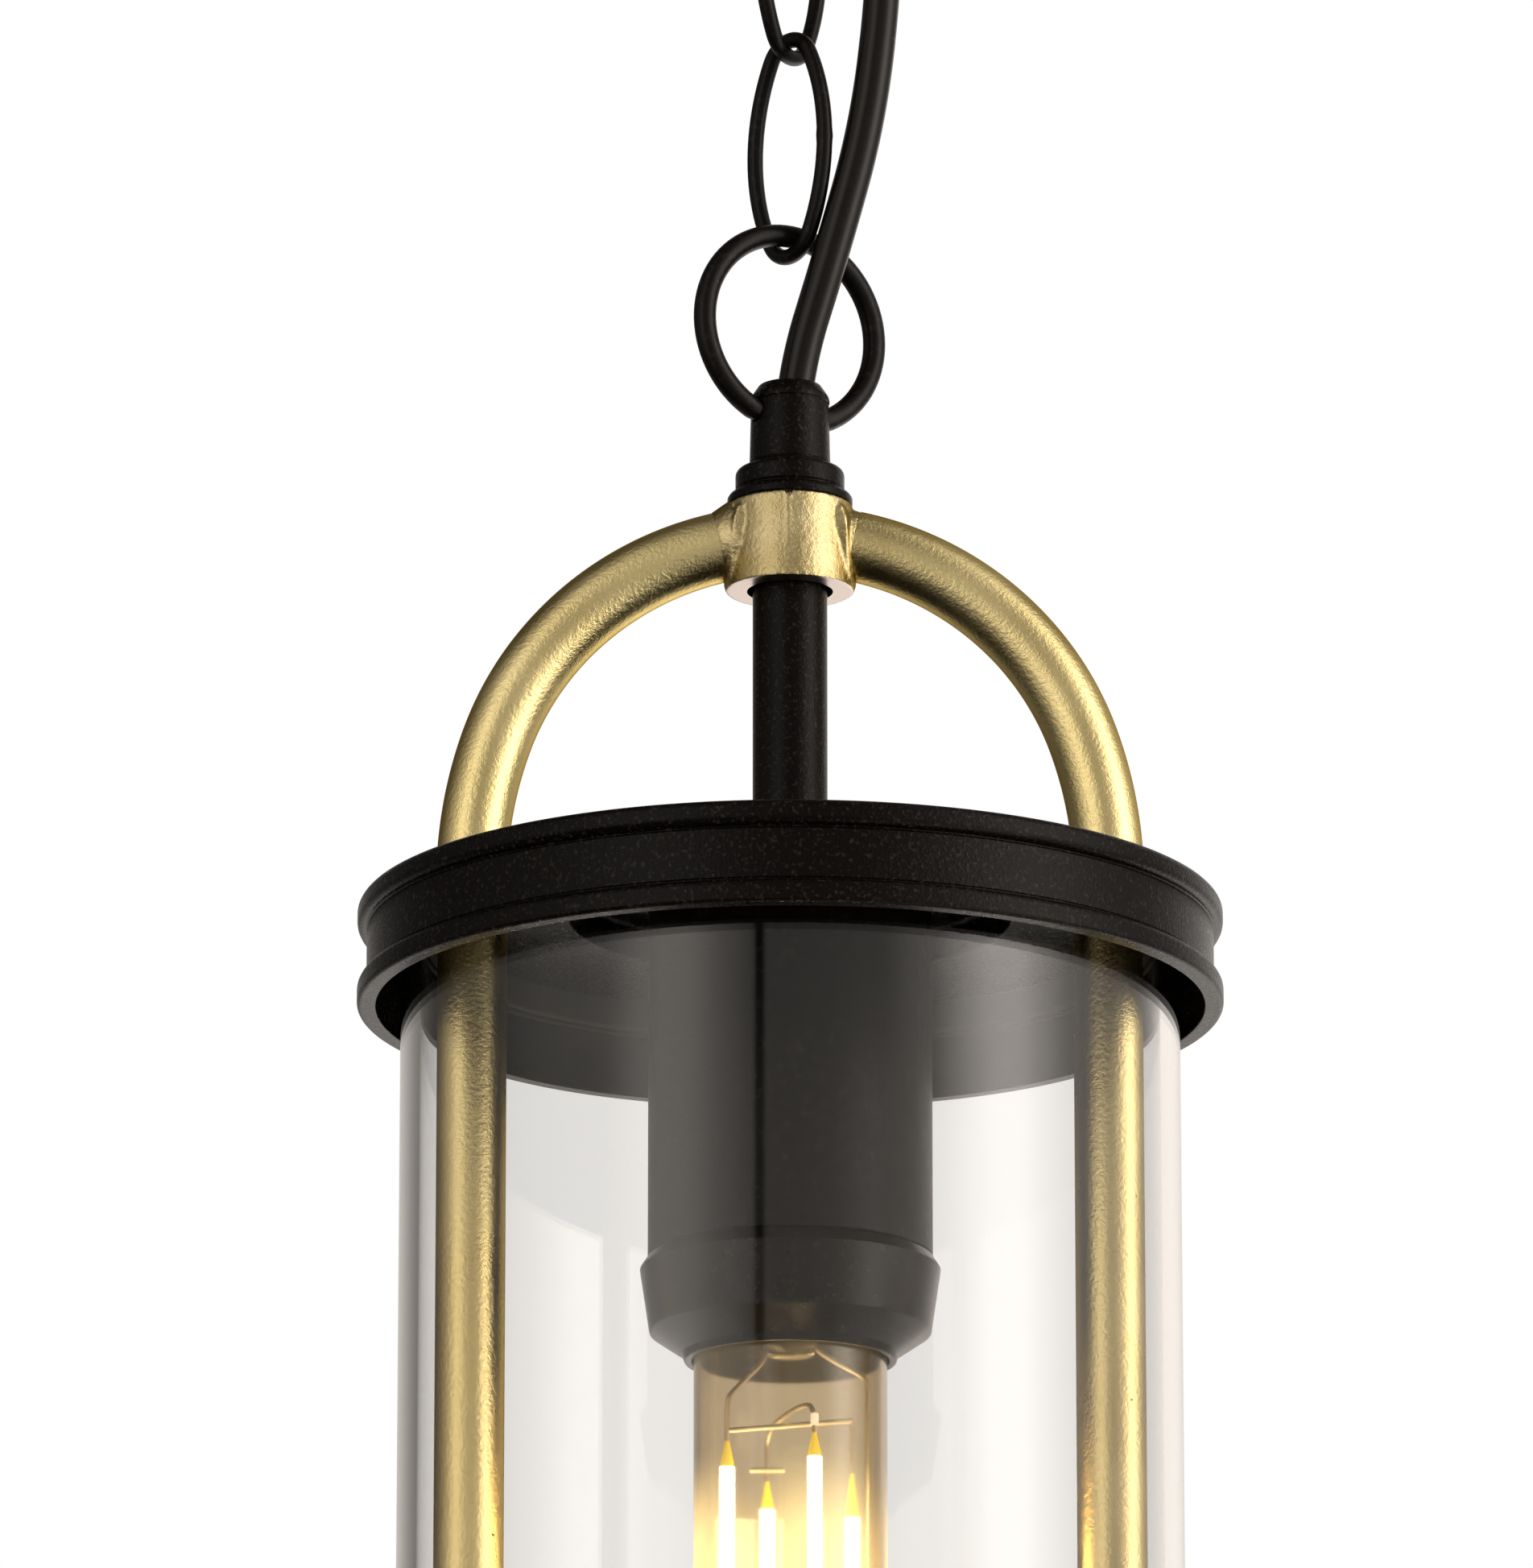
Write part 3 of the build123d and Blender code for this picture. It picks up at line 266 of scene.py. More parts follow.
# Satin brass: drawn grain, faint clouding in the lacquer and the odd pit
brass_tree, brass_in, brass_out = group(
    "brass_grain", {"Grain": 1500.0, "Cloud": 45.0, "Pits": 120.0}, ["Height", "Cloud", "Pit"]
)
brass_place = on_piece(brass_tree)
brass_fine = noise(brass_tree, brass_in["Grain"], 4.0, 0.65, brass_place)
brass_pits = add(brass_tree, "TexVoronoi", Vector=brass_place, Scale=brass_in["Pits"])
brass_pit = spread(brass_tree, brass_pits, (0.012, 0.035), (1.0, 0.0))
feed(
    brass_out, Height=work_out(brass_tree, "SUBTRACT", brass_fine, brass_pit), Pit=brass_pit,
    Cloud=noise(brass_tree, brass_in["Cloud"], 3.0, 0.55, brass_place),
)


def brassy(name, light, dark, roughness, bump, grain=1000.0, cloud=45.0):
    """A brass finish: its tone and gloss drift between two values, and its grain is raised."""
    pit_colour = (0.22, 0.15, 0.06)
    edge_tint = (0.22, 0.15, 0.07)
    drift = 0.05
    finish, tree, shader = material(name)
    brass = add(tree, "Group", {"node_tree": brass_tree}, Grain=grain, Cloud=cloud).outputs
    tint = mixed(tree, spread(tree, brass["Cloud"], (0.35, 0.65), (0.0, 1.0)), dark, light)
    pitted = mixed(tree, brass["Pit"], tint, pit_colour)
    gloss = spread(tree, brass["Cloud"], (0.3, 0.7), (roughness - drift, roughness + drift))
    skin(shader, pitted, gloss, brass["Height"], bump, depth=0.0002)
    feed(shader, Metallic=1.0, Specular_Tint=edge_tint)
    return finish


def pin(work, radius, height, at, lean=0.0, head=None, facets=64):
    """Adds a round pin centred at a point, leant over towards +X, tapered if its head differs."""
    return bmesh.ops.create_cone(
        work, cap_ends=True, segments=facets, radius1=radius, radius2=head or radius, depth=height,
        matrix=Matrix.Translation(at) @ Matrix.Rotation(lean, 4, "Y"),
    )["verts"]


def faces_at(verts):
    """The faces that meet these corners."""
    return {face for vert in verts for face in vert.link_faces}


satin_brass = brassy("satin_brass", (0.91, 0.755, 0.37), (0.80, 0.655, 0.30), 0.28, 0.60, grain=1500.0)
bright_brass = brassy("bright_brass", (0.78, 0.60, 0.28), (0.70, 0.52, 0.22), 0.22, 0.08)

screw_low, screw_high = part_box("rose_screws")
thumb_radius = (screw_high.z - screw_low.z) / 2
thumb_z = (screw_high.z + screw_low.z) / 2
thumb_height = 0.0025
shank_length = 0.0075
shank_middle = rose_radius - 0.00325
knurls = 30
knurl_corner = radians(25)
thumb_screws = bmesh.new()
for side in (-1, 1):
    head_middle = (side * (screw_high.x - thumb_height / 2), 0, thumb_z)
    head = pin(thumb_screws, thumb_radius, thumb_height, head_middle, side * pi / 2, facets=2 * knurls)
    rim_faces = [face for face in faces_at(head) if abs(face.normal.x) < 0.5]
    rim_faces.sort(
        key=lambda face: atan2(face.calc_center_median().z - thumb_z, face.calc_center_median().y)
    )
    bmesh.ops.inset_individual(thumb_screws, faces=rim_faces[::2], thickness=0.00008, depth=-0.0003)
    shank_at = (side * shank_middle, 0, thumb_z)
    pin(thumb_screws, thumb_radius / 2, shank_length, shank_at, side * pi / 2, facets=32)
fit(
    "rose_thumb_screws", thumb_screws, bright_brass, "ceiling", "brass", "rose_screws",
    crease=knurl_corner,
)

# ----------------------------------------
# Fixings inside the rose. A zinc-plated strap and nut, and a nylon connector with brown cores
# from the flex to its poles. They stay as the frame has them and get their own finishes.


def grained(name, dark, light, roughness, bump, scale, detail, drift, stretch=None):
    """A finish whose tint, gloss and height all follow one noise."""
    finish, tree, shader = material(name)
    grain = noise(tree, scale, detail, place=on_piece(tree, stretch))
    gloss = spread(tree, grain, (0.0, 1.0), (roughness - drift, roughness + drift))
    skin(shader, mixed(tree, grain, dark, light), gloss, grain, bump, depth=0.0001)
    return finish, shader


def plated(name, colour, roughness, stretch, bump):
    """Plated or bare metal with a faint rolling grain along one way."""
    valley = [0.82 * part for part in colour]
    finish, shader = grained(
        name, valley, colour, roughness, bump, scale=900.0, detail=3.0, drift=0.08, stretch=stretch
    )
    feed(shader, Metallic=1.0)
    return finish


def moulded(name, colour, fleck, roughness, bump=0.06, shine=0.5):
    """A moulded plastic or rubber: a soft skin with a slight mottle."""
    finish, shader = grained(
        name, colour, fleck, roughness, bump, scale=1400.0, detail=2.0, drift=0.06
    )
    feed(shader, Specular_IOR_Level=shine)
    return finish


def finish_nodes(finish, *names):
    """Gives CAD nodes that stay in sight their procedural finish."""
    for name in names:
        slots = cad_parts[name].data.materials
        slots.clear()
        slots.append(finish)


zinc_plate = plated("zinc_plate", (0.62, 0.62, 0.60), 0.34, (0.08, 1.0, 1.0), 0.10)
black_moulding = moulded("black_moulding", (0.020, 0.019, 0.018), (0.034, 0.032, 0.030), 0.42)
natural_nylon = moulded("natural_nylon", (0.70, 0.69, 0.63), (0.80, 0.79, 0.74), 0.38)
brown_core = moulded("brown_core", (0.17, 0.075, 0.035), (0.22, 0.10, 0.05), 0.36)
finish_nodes(zinc_plate, "ceiling_bracket", "hook_nut")
finish_nodes(black_moulding, "cord_grip_nut")
finish_nodes(natural_nylon, "terminal_block")
finish_nodes(brown_core, "core_wires")

# ----------------------------------------
# Cord grip and hook collar. The grip is a moulded black gland with a ribbed nut that closes on
# the flex; the collar is a turned steel ring on the hook's shank that holds the rose up.
grip_low, grip_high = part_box("cord_grip")
grip_middle = (grip_low + grip_high) / 2
grip_radius = grip_high.x - grip_middle.x
grip_tip = 0.0047
grip_thread = 0.004
flex_radius = 0.00285
grip_bore = flex_radius + 0.00005
grip_face = rose_low.z
rib_foot, rib_head = grip_face - 0.0046, grip_face - 0.0020
rib_margin = 0.0001
grip = turned([
    (grip_bore, grip_low.z + 0.0006),
    (flex_radius + 0.0006, grip_low.z, 0.0004),
    (grip_tip - 0.0006, grip_low.z, 0.0008),
    (grip_tip + 0.0003, rib_foot - 0.0009, 0.0006),
    (grip_radius * 0.80, rib_foot, 0.0004),
    (grip_radius * 0.84, rib_head, 0.0003),
    (grip_radius, rib_head + 0.0002, 0.0004),
    (grip_radius, grip_face),
    (grip_thread, grip_face),
    (grip_thread, grip_high.z),
    (grip_bore, grip_high.z),
], closed=True, facets=72)
rib_faces = [
    face for face in grip.faces
    if rib_foot + rib_margin < face.calc_center_median().z < rib_head - rib_margin
    and face.calc_center_median().xy.length > grip_radius * 0.78
]
rib_faces.sort(key=lambda face: atan2(face.calc_center_median().y, face.calc_center_median().x))
bmesh.ops.inset_individual(grip, faces=rib_faces[::3], thickness=0.00006, depth=0.00035)
bmesh.ops.translate(grip, verts=grip.verts, vec=(grip_middle.x, grip_middle.y, 0))
fit("cord_grip_gland", grip, black_moulding, "ceiling", "phenolic", "cord_grip")

collar_low, collar_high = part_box("hook_collar")
collar_radius = collar_high.x
collar_bore = 0.00405
fit("hook_collar_ring", turned([
    (collar_bore, collar_low.z, 0.0002),
    (collar_radius * 0.80, collar_low.z, 0.0006),
    (collar_radius, collar_low.z + 0.35 * (collar_high.z - collar_low.z), 0.0005),
    (collar_radius, collar_high.z, 0.0003),
    (collar_bore, collar_high.z),
], closed=True, facets=96), steel_coat, "ceiling", "black_steel", "hook_collar")

# ----------------------------------------
# Chain hook. A closed eye bent from thick wire, welded to a threaded shank that goes up through
# the rose, its bracket and a nut.


def only(kind, parts):
    """The parts of one kind: corners or edges."""
    return [part for part in parts if isinstance(part, kind)]


def wire_start(work, radius, at=(0, 0, 0), facets=20, turn=Matrix.Identity(4)):
    """The round end of a wire that sets out along +Z: the ring of edges that bends extrude."""
    ring = bmesh.ops.create_circle(
        work, cap_ends=False, radius=radius, segments=facets, matrix=Matrix.Translation(at) @ turn
    )["verts"]
    return ring + list({edge for vert in ring for edge in vert.link_edges})


def bend(work, ring, centre, angle, steps):
    """Carries a wire's end round a bend in the XZ plane, from X towards Z when angle is above 0."""
    made = bmesh.ops.spin(
        work, geom=ring, cent=(centre[0], 0, centre[1]), axis=(0, -1, 0), dvec=(0, 0, 0),
        angle=angle, steps=steps, use_merge=False, use_duplicate=False,
    )
    return only((bmesh.types.BMVert, bmesh.types.BMEdge), made["geom_last"])


def run(work, ring, along):
    """Carries a wire's end straight on by one vector."""
    made = bmesh.ops.extrude_edge_only(work, edges=only(bmesh.types.BMEdge, ring))
    verts = only(bmesh.types.BMVert, made["geom"])
    bmesh.ops.translate(work, verts=verts, vec=along)
    moved = set(verts)
    edges = {edge for vert in verts for edge in vert.link_edges if moved.issuperset(edge.verts)}
    return verts + list(edges)


def turn_about_axis(work, yaw, z=0.0):
    """Turns a wire shape about the hanging axis, and raises it to its level."""
    bmesh.ops.rotate(work, verts=work.verts, cent=(0, 0, 0), matrix=Matrix.Rotation(yaw, 3, "Z"))
    bmesh.ops.translate(work, verts=work.verts, vec=(0, 0, z))


wire_coat = coated(
    "wire_coat", (0.0028, 0.0019, 0.0015), (0.010, 0.008, 0.007), 0.34, 0.10, 0.16, grain=1800.0
)

link_yaw = radians(-50)
link_twist = radians(106.5)
hook_low, hook_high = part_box("chain_hook")
hook_wire = 0.00175
hook_eye = 0.009
hook_centre = hook_low.z + hook_wire + hook_eye
hook_shank = 0.004
hook_shoulder = hook_shank + 0.0006
hook = bmesh.new()
bend(hook, wire_start(hook, hook_wire, at=(hook_eye, 0, 0)), (0, 0), 2 * pi, 72)
turn_about_axis(hook, link_yaw + 3 * link_twist, hook_centre)
shank_foot = hook_centre + hook_eye - hook_wire / 2
shank_outline = [
    (0.0, shank_foot),
    (hook_wire * 1.1, shank_foot, 0.0006),
    (hook_shoulder, shank_foot + 0.0028, 0.0006),
    (hook_shoulder, shank_foot + 0.0045, 0.0004),
    (hook_shank - 0.0003, shank_foot + 0.0050),
]
thread_pitch = 0.0010
thread_depth = 0.0005
thread_z = collar_low.z - 0.002
while thread_z < hook_high.z - thread_pitch:
    shank_outline += [(hook_shank, thread_z), (hook_shank - thread_depth, thread_z + thread_pitch / 2)]
    thread_z += thread_pitch
shank_outline += [(hook_shank - 0.0004, hook_high.z), (0.0, hook_high.z)]
hook.from_mesh(mesh_of("hook_shank", turned(shank_outline, facets=48)))
fit("chain_hook_eye", hook, wire_coat, "ceiling", "black_wire", "chain_hook")

# ----------------------------------------
# Chain links. Three ovals of black steel wire, each bent from four arcs and butt welded, with
# the weld at the middle of one side. Each hangs turned by rather more than a quarter turn.
link_wire = 0.00125
link_half_width = 0.00845
link_end = 0.0052
weld_swell = 1.07
for number in (1, 2, 3):
    link_low, link_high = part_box(f"chain_link_{number}")
    end_centre = (link_high.z - link_low.z) / 2 - link_wire - link_end
    side_radius = (end_centre**2 + link_half_width**2 - link_end**2) / (2 * (link_half_width - link_end))
    side_centre = side_radius - link_half_width
    side_turn = atan2(end_centre, side_centre)
    link = bmesh.new()
    link_ring = wire_start(link, link_wire, at=(link_half_width, 0, 0))
    for centre, angle, steps in (
        ((-side_centre, 0), side_turn, 12), ((0, end_centre), pi - 2 * side_turn, 18),
        ((side_centre, 0), 2 * side_turn, 24), ((0, -end_centre), pi - 2 * side_turn, 18),
        ((-side_centre, 0), side_turn, 12),
    ):
        link_ring = bend(link, link_ring, centre, angle, steps)
    bmesh.ops.remove_doubles(link, verts=link.verts, dist=same_spot)
    bmesh.ops.scale(
        link, verts=[vert for vert in link.verts if vert.co.x > 0 and abs(vert.co.z) < 1e-5],
        vec=(weld_swell,) * 3, space=Matrix.Translation((-link_half_width, 0, 0)),
    )
    turn_about_axis(link, link_yaw + (number - 1) * link_twist, (link_low.z + link_high.z) / 2)
    fit(f"chain_link_wire_{number}", link, wire_coat, f"link_{number}", "black_wire", f"chain_link_{number}")

# ----------------------------------------
# Hanging ring. A ring of thicker black wire, open at its foot, whose two ends turn in through
# the loop cap's neck, so that the lantern swings on them.
ring_wire = 0.00175
ring_radius = 0.0153
ring_elbow = 0.003
ring_end = 0.00345
ring_yaw = radians(30)
ring_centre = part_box("hanging_ring")[1].z - ring_wire - ring_radius
ring_pivot = -0.0139
elbow_z = ring_pivot + ring_elbow
elbow_x = sqrt((ring_radius - ring_elbow) ** 2 - elbow_z**2)
elbow_turn = atan2(elbow_x, -elbow_z)
ring = bmesh.new()
ring_side = wire_start(ring, ring_wire, at=(ring_radius, 0, 0), facets=24)
for side, before_elbow, steps in ((-1, pi / 2, 20), (1, 3 * pi / 2, 60)):
    # From the ring's side to its elbow and then in along the pivot line, on each side
    half_ring = bend(ring, ring_side, (0, 0), side * (before_elbow - elbow_turn), steps)
    half_ring = bend(ring, half_ring, (-side * elbow_x, elbow_z), side * elbow_turn, 8)
    run(ring, half_ring, (side * (elbow_x - ring_end), 0, 0))
bmesh.ops.remove_doubles(ring, verts=ring.verts, dist=same_spot)
bmesh.ops.holes_fill(ring, edges=ring.edges)
turn_about_axis(ring, ring_yaw, ring_centre)
fit("hanging_ring_wire", ring, wire_coat, "ring", "black_wire", "hanging_ring")

# ----------------------------------------
# Loop cap. Turned steel with a domed neck, a flange and a foot, powder coated. It is screwed
# down on the rod and takes the ring's ends in a hole across its neck.
cap_low, cap_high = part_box("loop_cap")
foot_radius = cap_high.x
neck_top = cap_high.z
neck_radius = 0.0063
neck_foot = neck_top - 0.0137
flange_radius = 0.0085
flange_foot = neck_foot - 0.0042
rod_clearance = 0.0051
flex_hole = 0.0033
rod_seat = cap_low.z + 0.0086
pivot_hole = 0.00195
pivot_drill_length = 0.03


def cut(piece, cutter):
    """Cuts a bmesh shape out of a piece and leaves the result as the piece's own mesh."""
    tool = put_in_scene("cutter", mesh_of("cutter", cutter))
    piece.modifiers.clear()
    saw = piece.modifiers.new("cut", "BOOLEAN")
    saw.object = tool
    saw.solver = "EXACT"
    keep_shape(piece)
    bpy.data.objects.remove(tool)
    shade(piece.data)
    even(piece)


def keep_shape(piece):
    """Makes what a piece's modifiers give its own mesh."""
    shaped = piece.evaluated_get(bpy.context.evaluated_depsgraph_get())
    shape = bpy.data.meshes.new_from_object(shaped)
    piece.modifiers.clear()
    piece.data = shape


loop_cap = fit("loop_cap_turning", turned([
    (flex_hole, neck_top - 0.0024),
    (0.0041, neck_top - 0.0001, 0.0003),
    (neck_radius - 0.0015, neck_top, 0.0006),
    (neck_radius - 0.0001, neck_top - 0.0021, 0.0017),
    (neck_radius - 0.0001, neck_top - 0.0028, 0.0001),
    (neck_radius - 0.00032, neck_top - 0.0030, 0.0002),
    (neck_radius - 0.00022, neck_top - 0.0034, 0.0002),
    (neck_radius, neck_foot + 0.0010, 0.0002),
    (neck_radius - 0.00012, neck_foot + 0.0008, 0.0001),
    (neck_radius + 0.00015, neck_foot + 0.0005, 0.0001),
    (neck_radius + 0.0002, neck_foot, 0.0002),
    (flange_radius, neck_foot, 0.0011),
    (flange_radius, flange_foot + 0.0009, 0.0003),
    (flange_radius - 0.0003, flange_foot + 0.0006, 0.0002),
    (flange_radius + 0.0001, flange_foot + 0.0001, 0.0002),
    (foot_radius - 0.0003, flange_foot - 0.0001, 0.0003),
    (foot_radius, flange_foot - 0.0006, 0.0003),
    (foot_radius, cap_low.z, 0.0003),
    (rod_clearance, cap_low.z),
    (rod_clearance, rod_seat),
    (flex_hole, rod_seat),
], closed=True, facets=128), steel_coat, "lantern", "black_steel", "loop_cap")
pivot_drill = bmesh.new()
pin(pivot_drill, pivot_hole, pivot_drill_length, (0, 0, 0), pi / 2, facets=40)
turn_about_axis(pivot_drill, ring_yaw, ring_centre + ring_pivot)
cut(loop_cap, pivot_drill)

# ----------------------------------------
# Hub. A brass casting: a barrel over the rod, and on each side a boss with cast shoulders that
# flare towards its foot, where a hoop tube is brazed on. Its edges are soft from the mould.
hub_low, hub_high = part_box("hub")
hub_height = hub_high.z - hub_low.z
hub_middle = (hub_low.z + hub_high.z) / 2
hub_bore = 0.0067
hub_web = 0.0048
barrel_radius = 0.00975
barrel_draft = 0.0002
crown_radius = 0.0481
crown_z = hub_middle + 0.0015
crown_centre_z = crown_z - crown_radius
tube_radius = 0.0055
joint_reach = 0.0100
casting_grain = 0.00026


def block(work, size, at, yaw=0.0):
    """Adds a block, centred at a point and turned about the hanging axis."""
    bmesh.ops.create_cube(
        work, size=1.0,
        matrix=Matrix.Translation(at) @ Matrix.Rotation(yaw, 4, "Z") @ Matrix.Diagonal((*size, 1)),
    )


cast_brass = brassy(
    "cast_brass", (0.70, 0.58, 0.315), (0.53, 0.425, 0.20), 0.32, 0.95, grain=1200.0, cloud=170.0
)
casting = bmesh.new()
pin(
    casting, barrel_radius + barrel_draft, hub_height, (0, 0, hub_middle), head=barrel_radius,
    facets=128,
)
# The mould's seam down the front and the back of the barrel
seam = (0.0006, 2 * (barrel_radius + barrel_draft), hub_height - 0.0008)
block(casting, seam, (-seam[0] / 2, 0, hub_middle))
# The block across it: its faces lean back towards the foot, and its ends flare there
block_levels = [
    # height above the foot, half width, half depth
    (0.0001, 0.0099, 0.0036), (0.0012, 0.0103, 0.0041), (0.0037, 0.0101, 0.0054),
    (0.0074, 0.0099, 0.0066), (0.0100, 0.0097, 0.0071), (0.0120, 0.0090, 0.0068),
    (0.0132, 0.0084, 0.0058),
]
quarter_section = [(1, 0.3), (0.97, 0.72), (0.9, 1)]
block_section = [
    *((-x, -y) for x, y in quarter_section), *((x, -y) for x, y in quarter_section[::-1]),
    *quarter_section, *((-x, y) for x, y in quarter_section[::-1]),
]
block_rings = [
    [casting.verts.new((x * width, y * depth, hub_low.z + level)) for x, y in block_section]
    for level, width, depth in block_levels
]
for under, over in zip(block_rings, block_rings[1:]):
    for place in range(len(block_section)):
        casting.faces.new((under[place - 1], under[place], over[place], over[place - 1]))
casting.faces.new(block_rings[0][::-1])
casting.faces.new(block_rings[-1])
# A stub at each end that runs out into the tube, with a fuller fillet on the left
stub_start = 0.008
stub_level_at = 0.0095
stub_drop = crown_radius - sqrt(crown_radius**2 - stub_level_at**2)
for side, root_radius, reach in ((-1, 0.0068, 0.0112), (1, 0.0057, 0.0101)):
    stub_middle = (side * (reach + stub_start) / 2, 0, crown_z - stub_drop)
    stub_lean = side * (pi / 2 + atan2(reach, crown_radius))
    pin(casting, root_radius, reach - stub_start, stub_middle, stub_lean, head=tube_radius)
hub = fit("hub_casting", casting, cast_brass, "lantern", "brass", "hub")
melt = hub.modifiers.new("melt", "REMESH")
melt.mode = "VOXEL"
melt.voxel_size = casting_grain
melt.use_smooth_shade = True
soften = hub.modifiers.new("soften", "SMOOTH")
soften.factor = 0.5
soften.iterations = 6
keep_shape(hub)
hub_drill = bmesh.new()
pin(hub_drill, hub_bore, hub_height, (0, 0, hub_middle - hub_web))
# A nick in the top edge, where the gate was broken off
pin(hub_drill, 0.0003, 0.0024, (-0.0002, -barrel_radius, hub_high.z), head=0.0012, facets=12)
cut(hub, hub_drill)
# Painted sheen: the faces turned down at the foot get a paler metal, standing in for the light the underside
# catches from below
hub.data.materials.append(plated("painted_underside_light", (0.54, 0.455, 0.41), 0.30, (1.0, 1.0, 1.0), 0.05))
for face in hub.data.polygons:
    if face.normal.z < -0.85 and face.center.z < hub_low.z + 2 * casting_grain:
        face.material_index = 1

# ----------------------------------------
# Hoop. Two lengths of brass tube, each bent over a former to half of a three-centred arch, then
# straight down inside the glass to the base ring. They were brushed along and lacquered.
left_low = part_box("hoop_tube_left")[0]
tube_wall = 0.0012
half_span = -left_low.x - tube_radius
leg_foot = left_low.z
arch_height = 0.0545
springing = crown_z - arch_height
rise = crown_centre_z - springing
side_bend = (half_span**2 + rise**2 - crown_radius**2) / (2 * (half_span - crown_radius))
side_bend_centre = half_span - side_bend
side_bend_turn = atan2(rise, -side_bend_centre)
joint_turn = atan2(joint_reach, sqrt(crown_radius**2 - joint_reach**2))
crown_turn = pi / 2 - side_bend_turn - joint_turn
for name, side in (("left", -1), ("right", 1)):
    tube = bmesh.new()
    feet, heads = [], []
    for radius in (tube_radius, tube_radius - tube_wall):
        tube_end = wire_start(tube, radius, at=(side * half_span, 0, leg_foot), facets=48)
        feet += only(bmesh.types.BMEdge, tube_end)
        tube_end = run(tube, tube_end, (0, 0, springing - leg_foot))
        tube_end = bend(tube, tube_end, (side * side_bend_centre, springing), side * side_bend_turn, 30)
        tube_end = bend(tube, tube_end, (0, crown_centre_z), side * crown_turn, 40)
        heads += only(bmesh.types.BMEdge, tube_end)
    for bore in (feet, heads):
        bmesh.ops.bridge_loops(tube, edges=bore)
    fit(f"hoop_{name}", tube, satin_brass, "lantern", "brass", f"hoop_tube_{name}")

# ----------------------------------------
# Stem sleeve and rod. A thin black sleeve covers the plated rod between the cap and the hub.
# Both are steel: the sleeve is slid over the rod before the hub goes on.
stem_low, stem_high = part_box("stem_tube")
stem_radius = stem_high.x
stem_wall = 0.0006
fit("stem_sleeve", turned([
    (stem_radius - stem_wall, stem_low.z),
    (stem_radius, stem_low.z, 0.0001),
    (stem_radius, stem_high.z, 0.0001),
    (stem_radius - stem_wall, stem_high.z),
], closed=True, facets=96), steel_coat, "lantern", "black_steel", "stem_tube")
finish_nodes(zinc_plate, "threaded_rod")

# ----------------------------------------
# Top cap. Spun steel: a skirt with a half-round bead at each edge, a flat plate that the legs
# pass through, and a raised middle. Powder coated inside and out.
top_low, top_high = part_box("top_cap")
bead_radius = top_high.x
bead_height = 0.0037
bead_curl = 0.0012
band_radius = bead_radius - 0.00145
band_crease = 0.0002
groove_radius = band_radius - 0.0003
skirt_bore = 0.06385
plate_z = top_high.z - 0.0055
plate_thickness = 0.002
dome_radius = 0.036
lower_bead_top = top_low.z + bead_height
upper_bead_foot = plate_z - bead_height
fit("top_cap_spinning", turned([
    (bead_radius, top_low.z, 0.0007),
    (bead_radius, lower_bead_top - 0.00005, bead_curl),
    (band_radius + 0.0001, lower_bead_top, band_crease),
    (groove_radius, lower_bead_top + 0.0002, band_crease),
    (band_radius, lower_bead_top + 0.0005, band_crease),
    (band_radius, upper_bead_foot - 0.0005, band_crease),
    (groove_radius, upper_bead_foot - 0.0002, band_crease),
    (band_radius + 0.0001, upper_bead_foot, band_crease),
    (bead_radius, upper_bead_foot + 0.00005, bead_curl),
    (bead_radius, plate_z - 0.00005, bead_curl),
    (band_radius - 0.0004, plate_z, 0.0003),
    (dome_radius + 0.0012, plate_z, 0.0009),
    (dome_radius, top_high.z, 0.0020),
    (rod_clearance, top_high.z),
    (rod_clearance, top_high.z - plate_thickness),
    (dome_radius - plate_thickness, top_high.z - plate_thickness, 0.0010),
    (dome_radius - plate_thickness, plate_z - plate_thickness, 0.0005),
    (skirt_bore, plate_z - plate_thickness, 0.0010),
    (skirt_bore, top_low.z, 0.0002),
], closed=True, facets=256), steel_coat, "lantern", "black_steel", "top_cap")

# ----------------------------------------
# Base ring. The same skirt turned over, on a flat annular plate that the bulb passes through.
# It is spun from steel and powder coated, and the leg screws draw it up against the glass.
base_low, base_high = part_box("bottom_ring")
base_opening = 0.040
base_plate_top = base_low.z + plate_thickness
fit("base_ring_spinning", turned([
    (bead_radius, base_low.z, bead_curl),
    (bead_radius, base_low.z + bead_height, bead_curl),
    (groove_radius, base_low.z + bead_height + 0.0002, band_crease),
    (band_radius, base_low.z + bead_height + 0.0007, band_crease),
    (band_radius, base_high.z - bead_height - 0.0007, band_crease),
    (groove_radius, base_high.z - bead_height - 0.0002, band_crease),
    (bead_radius, base_high.z - bead_height, bead_curl),
    (bead_radius, base_high.z, bead_curl),
    (skirt_bore, base_high.z, 0.0003),
    (skirt_bore, base_plate_top, 0.0010),
    (base_opening, base_plate_top, 0.0008),
    (base_opening, base_low.z, 0.0008),
], closed=True, facets=256), steel_coat, "lantern", "black_steel", "bottom_ring")

# ----------------------------------------
# Glass cylinder. Clear drawn glass tube, 3 mm thick, with both edges ground and polished.
# It stands on the base ring and is held between its two gaskets.


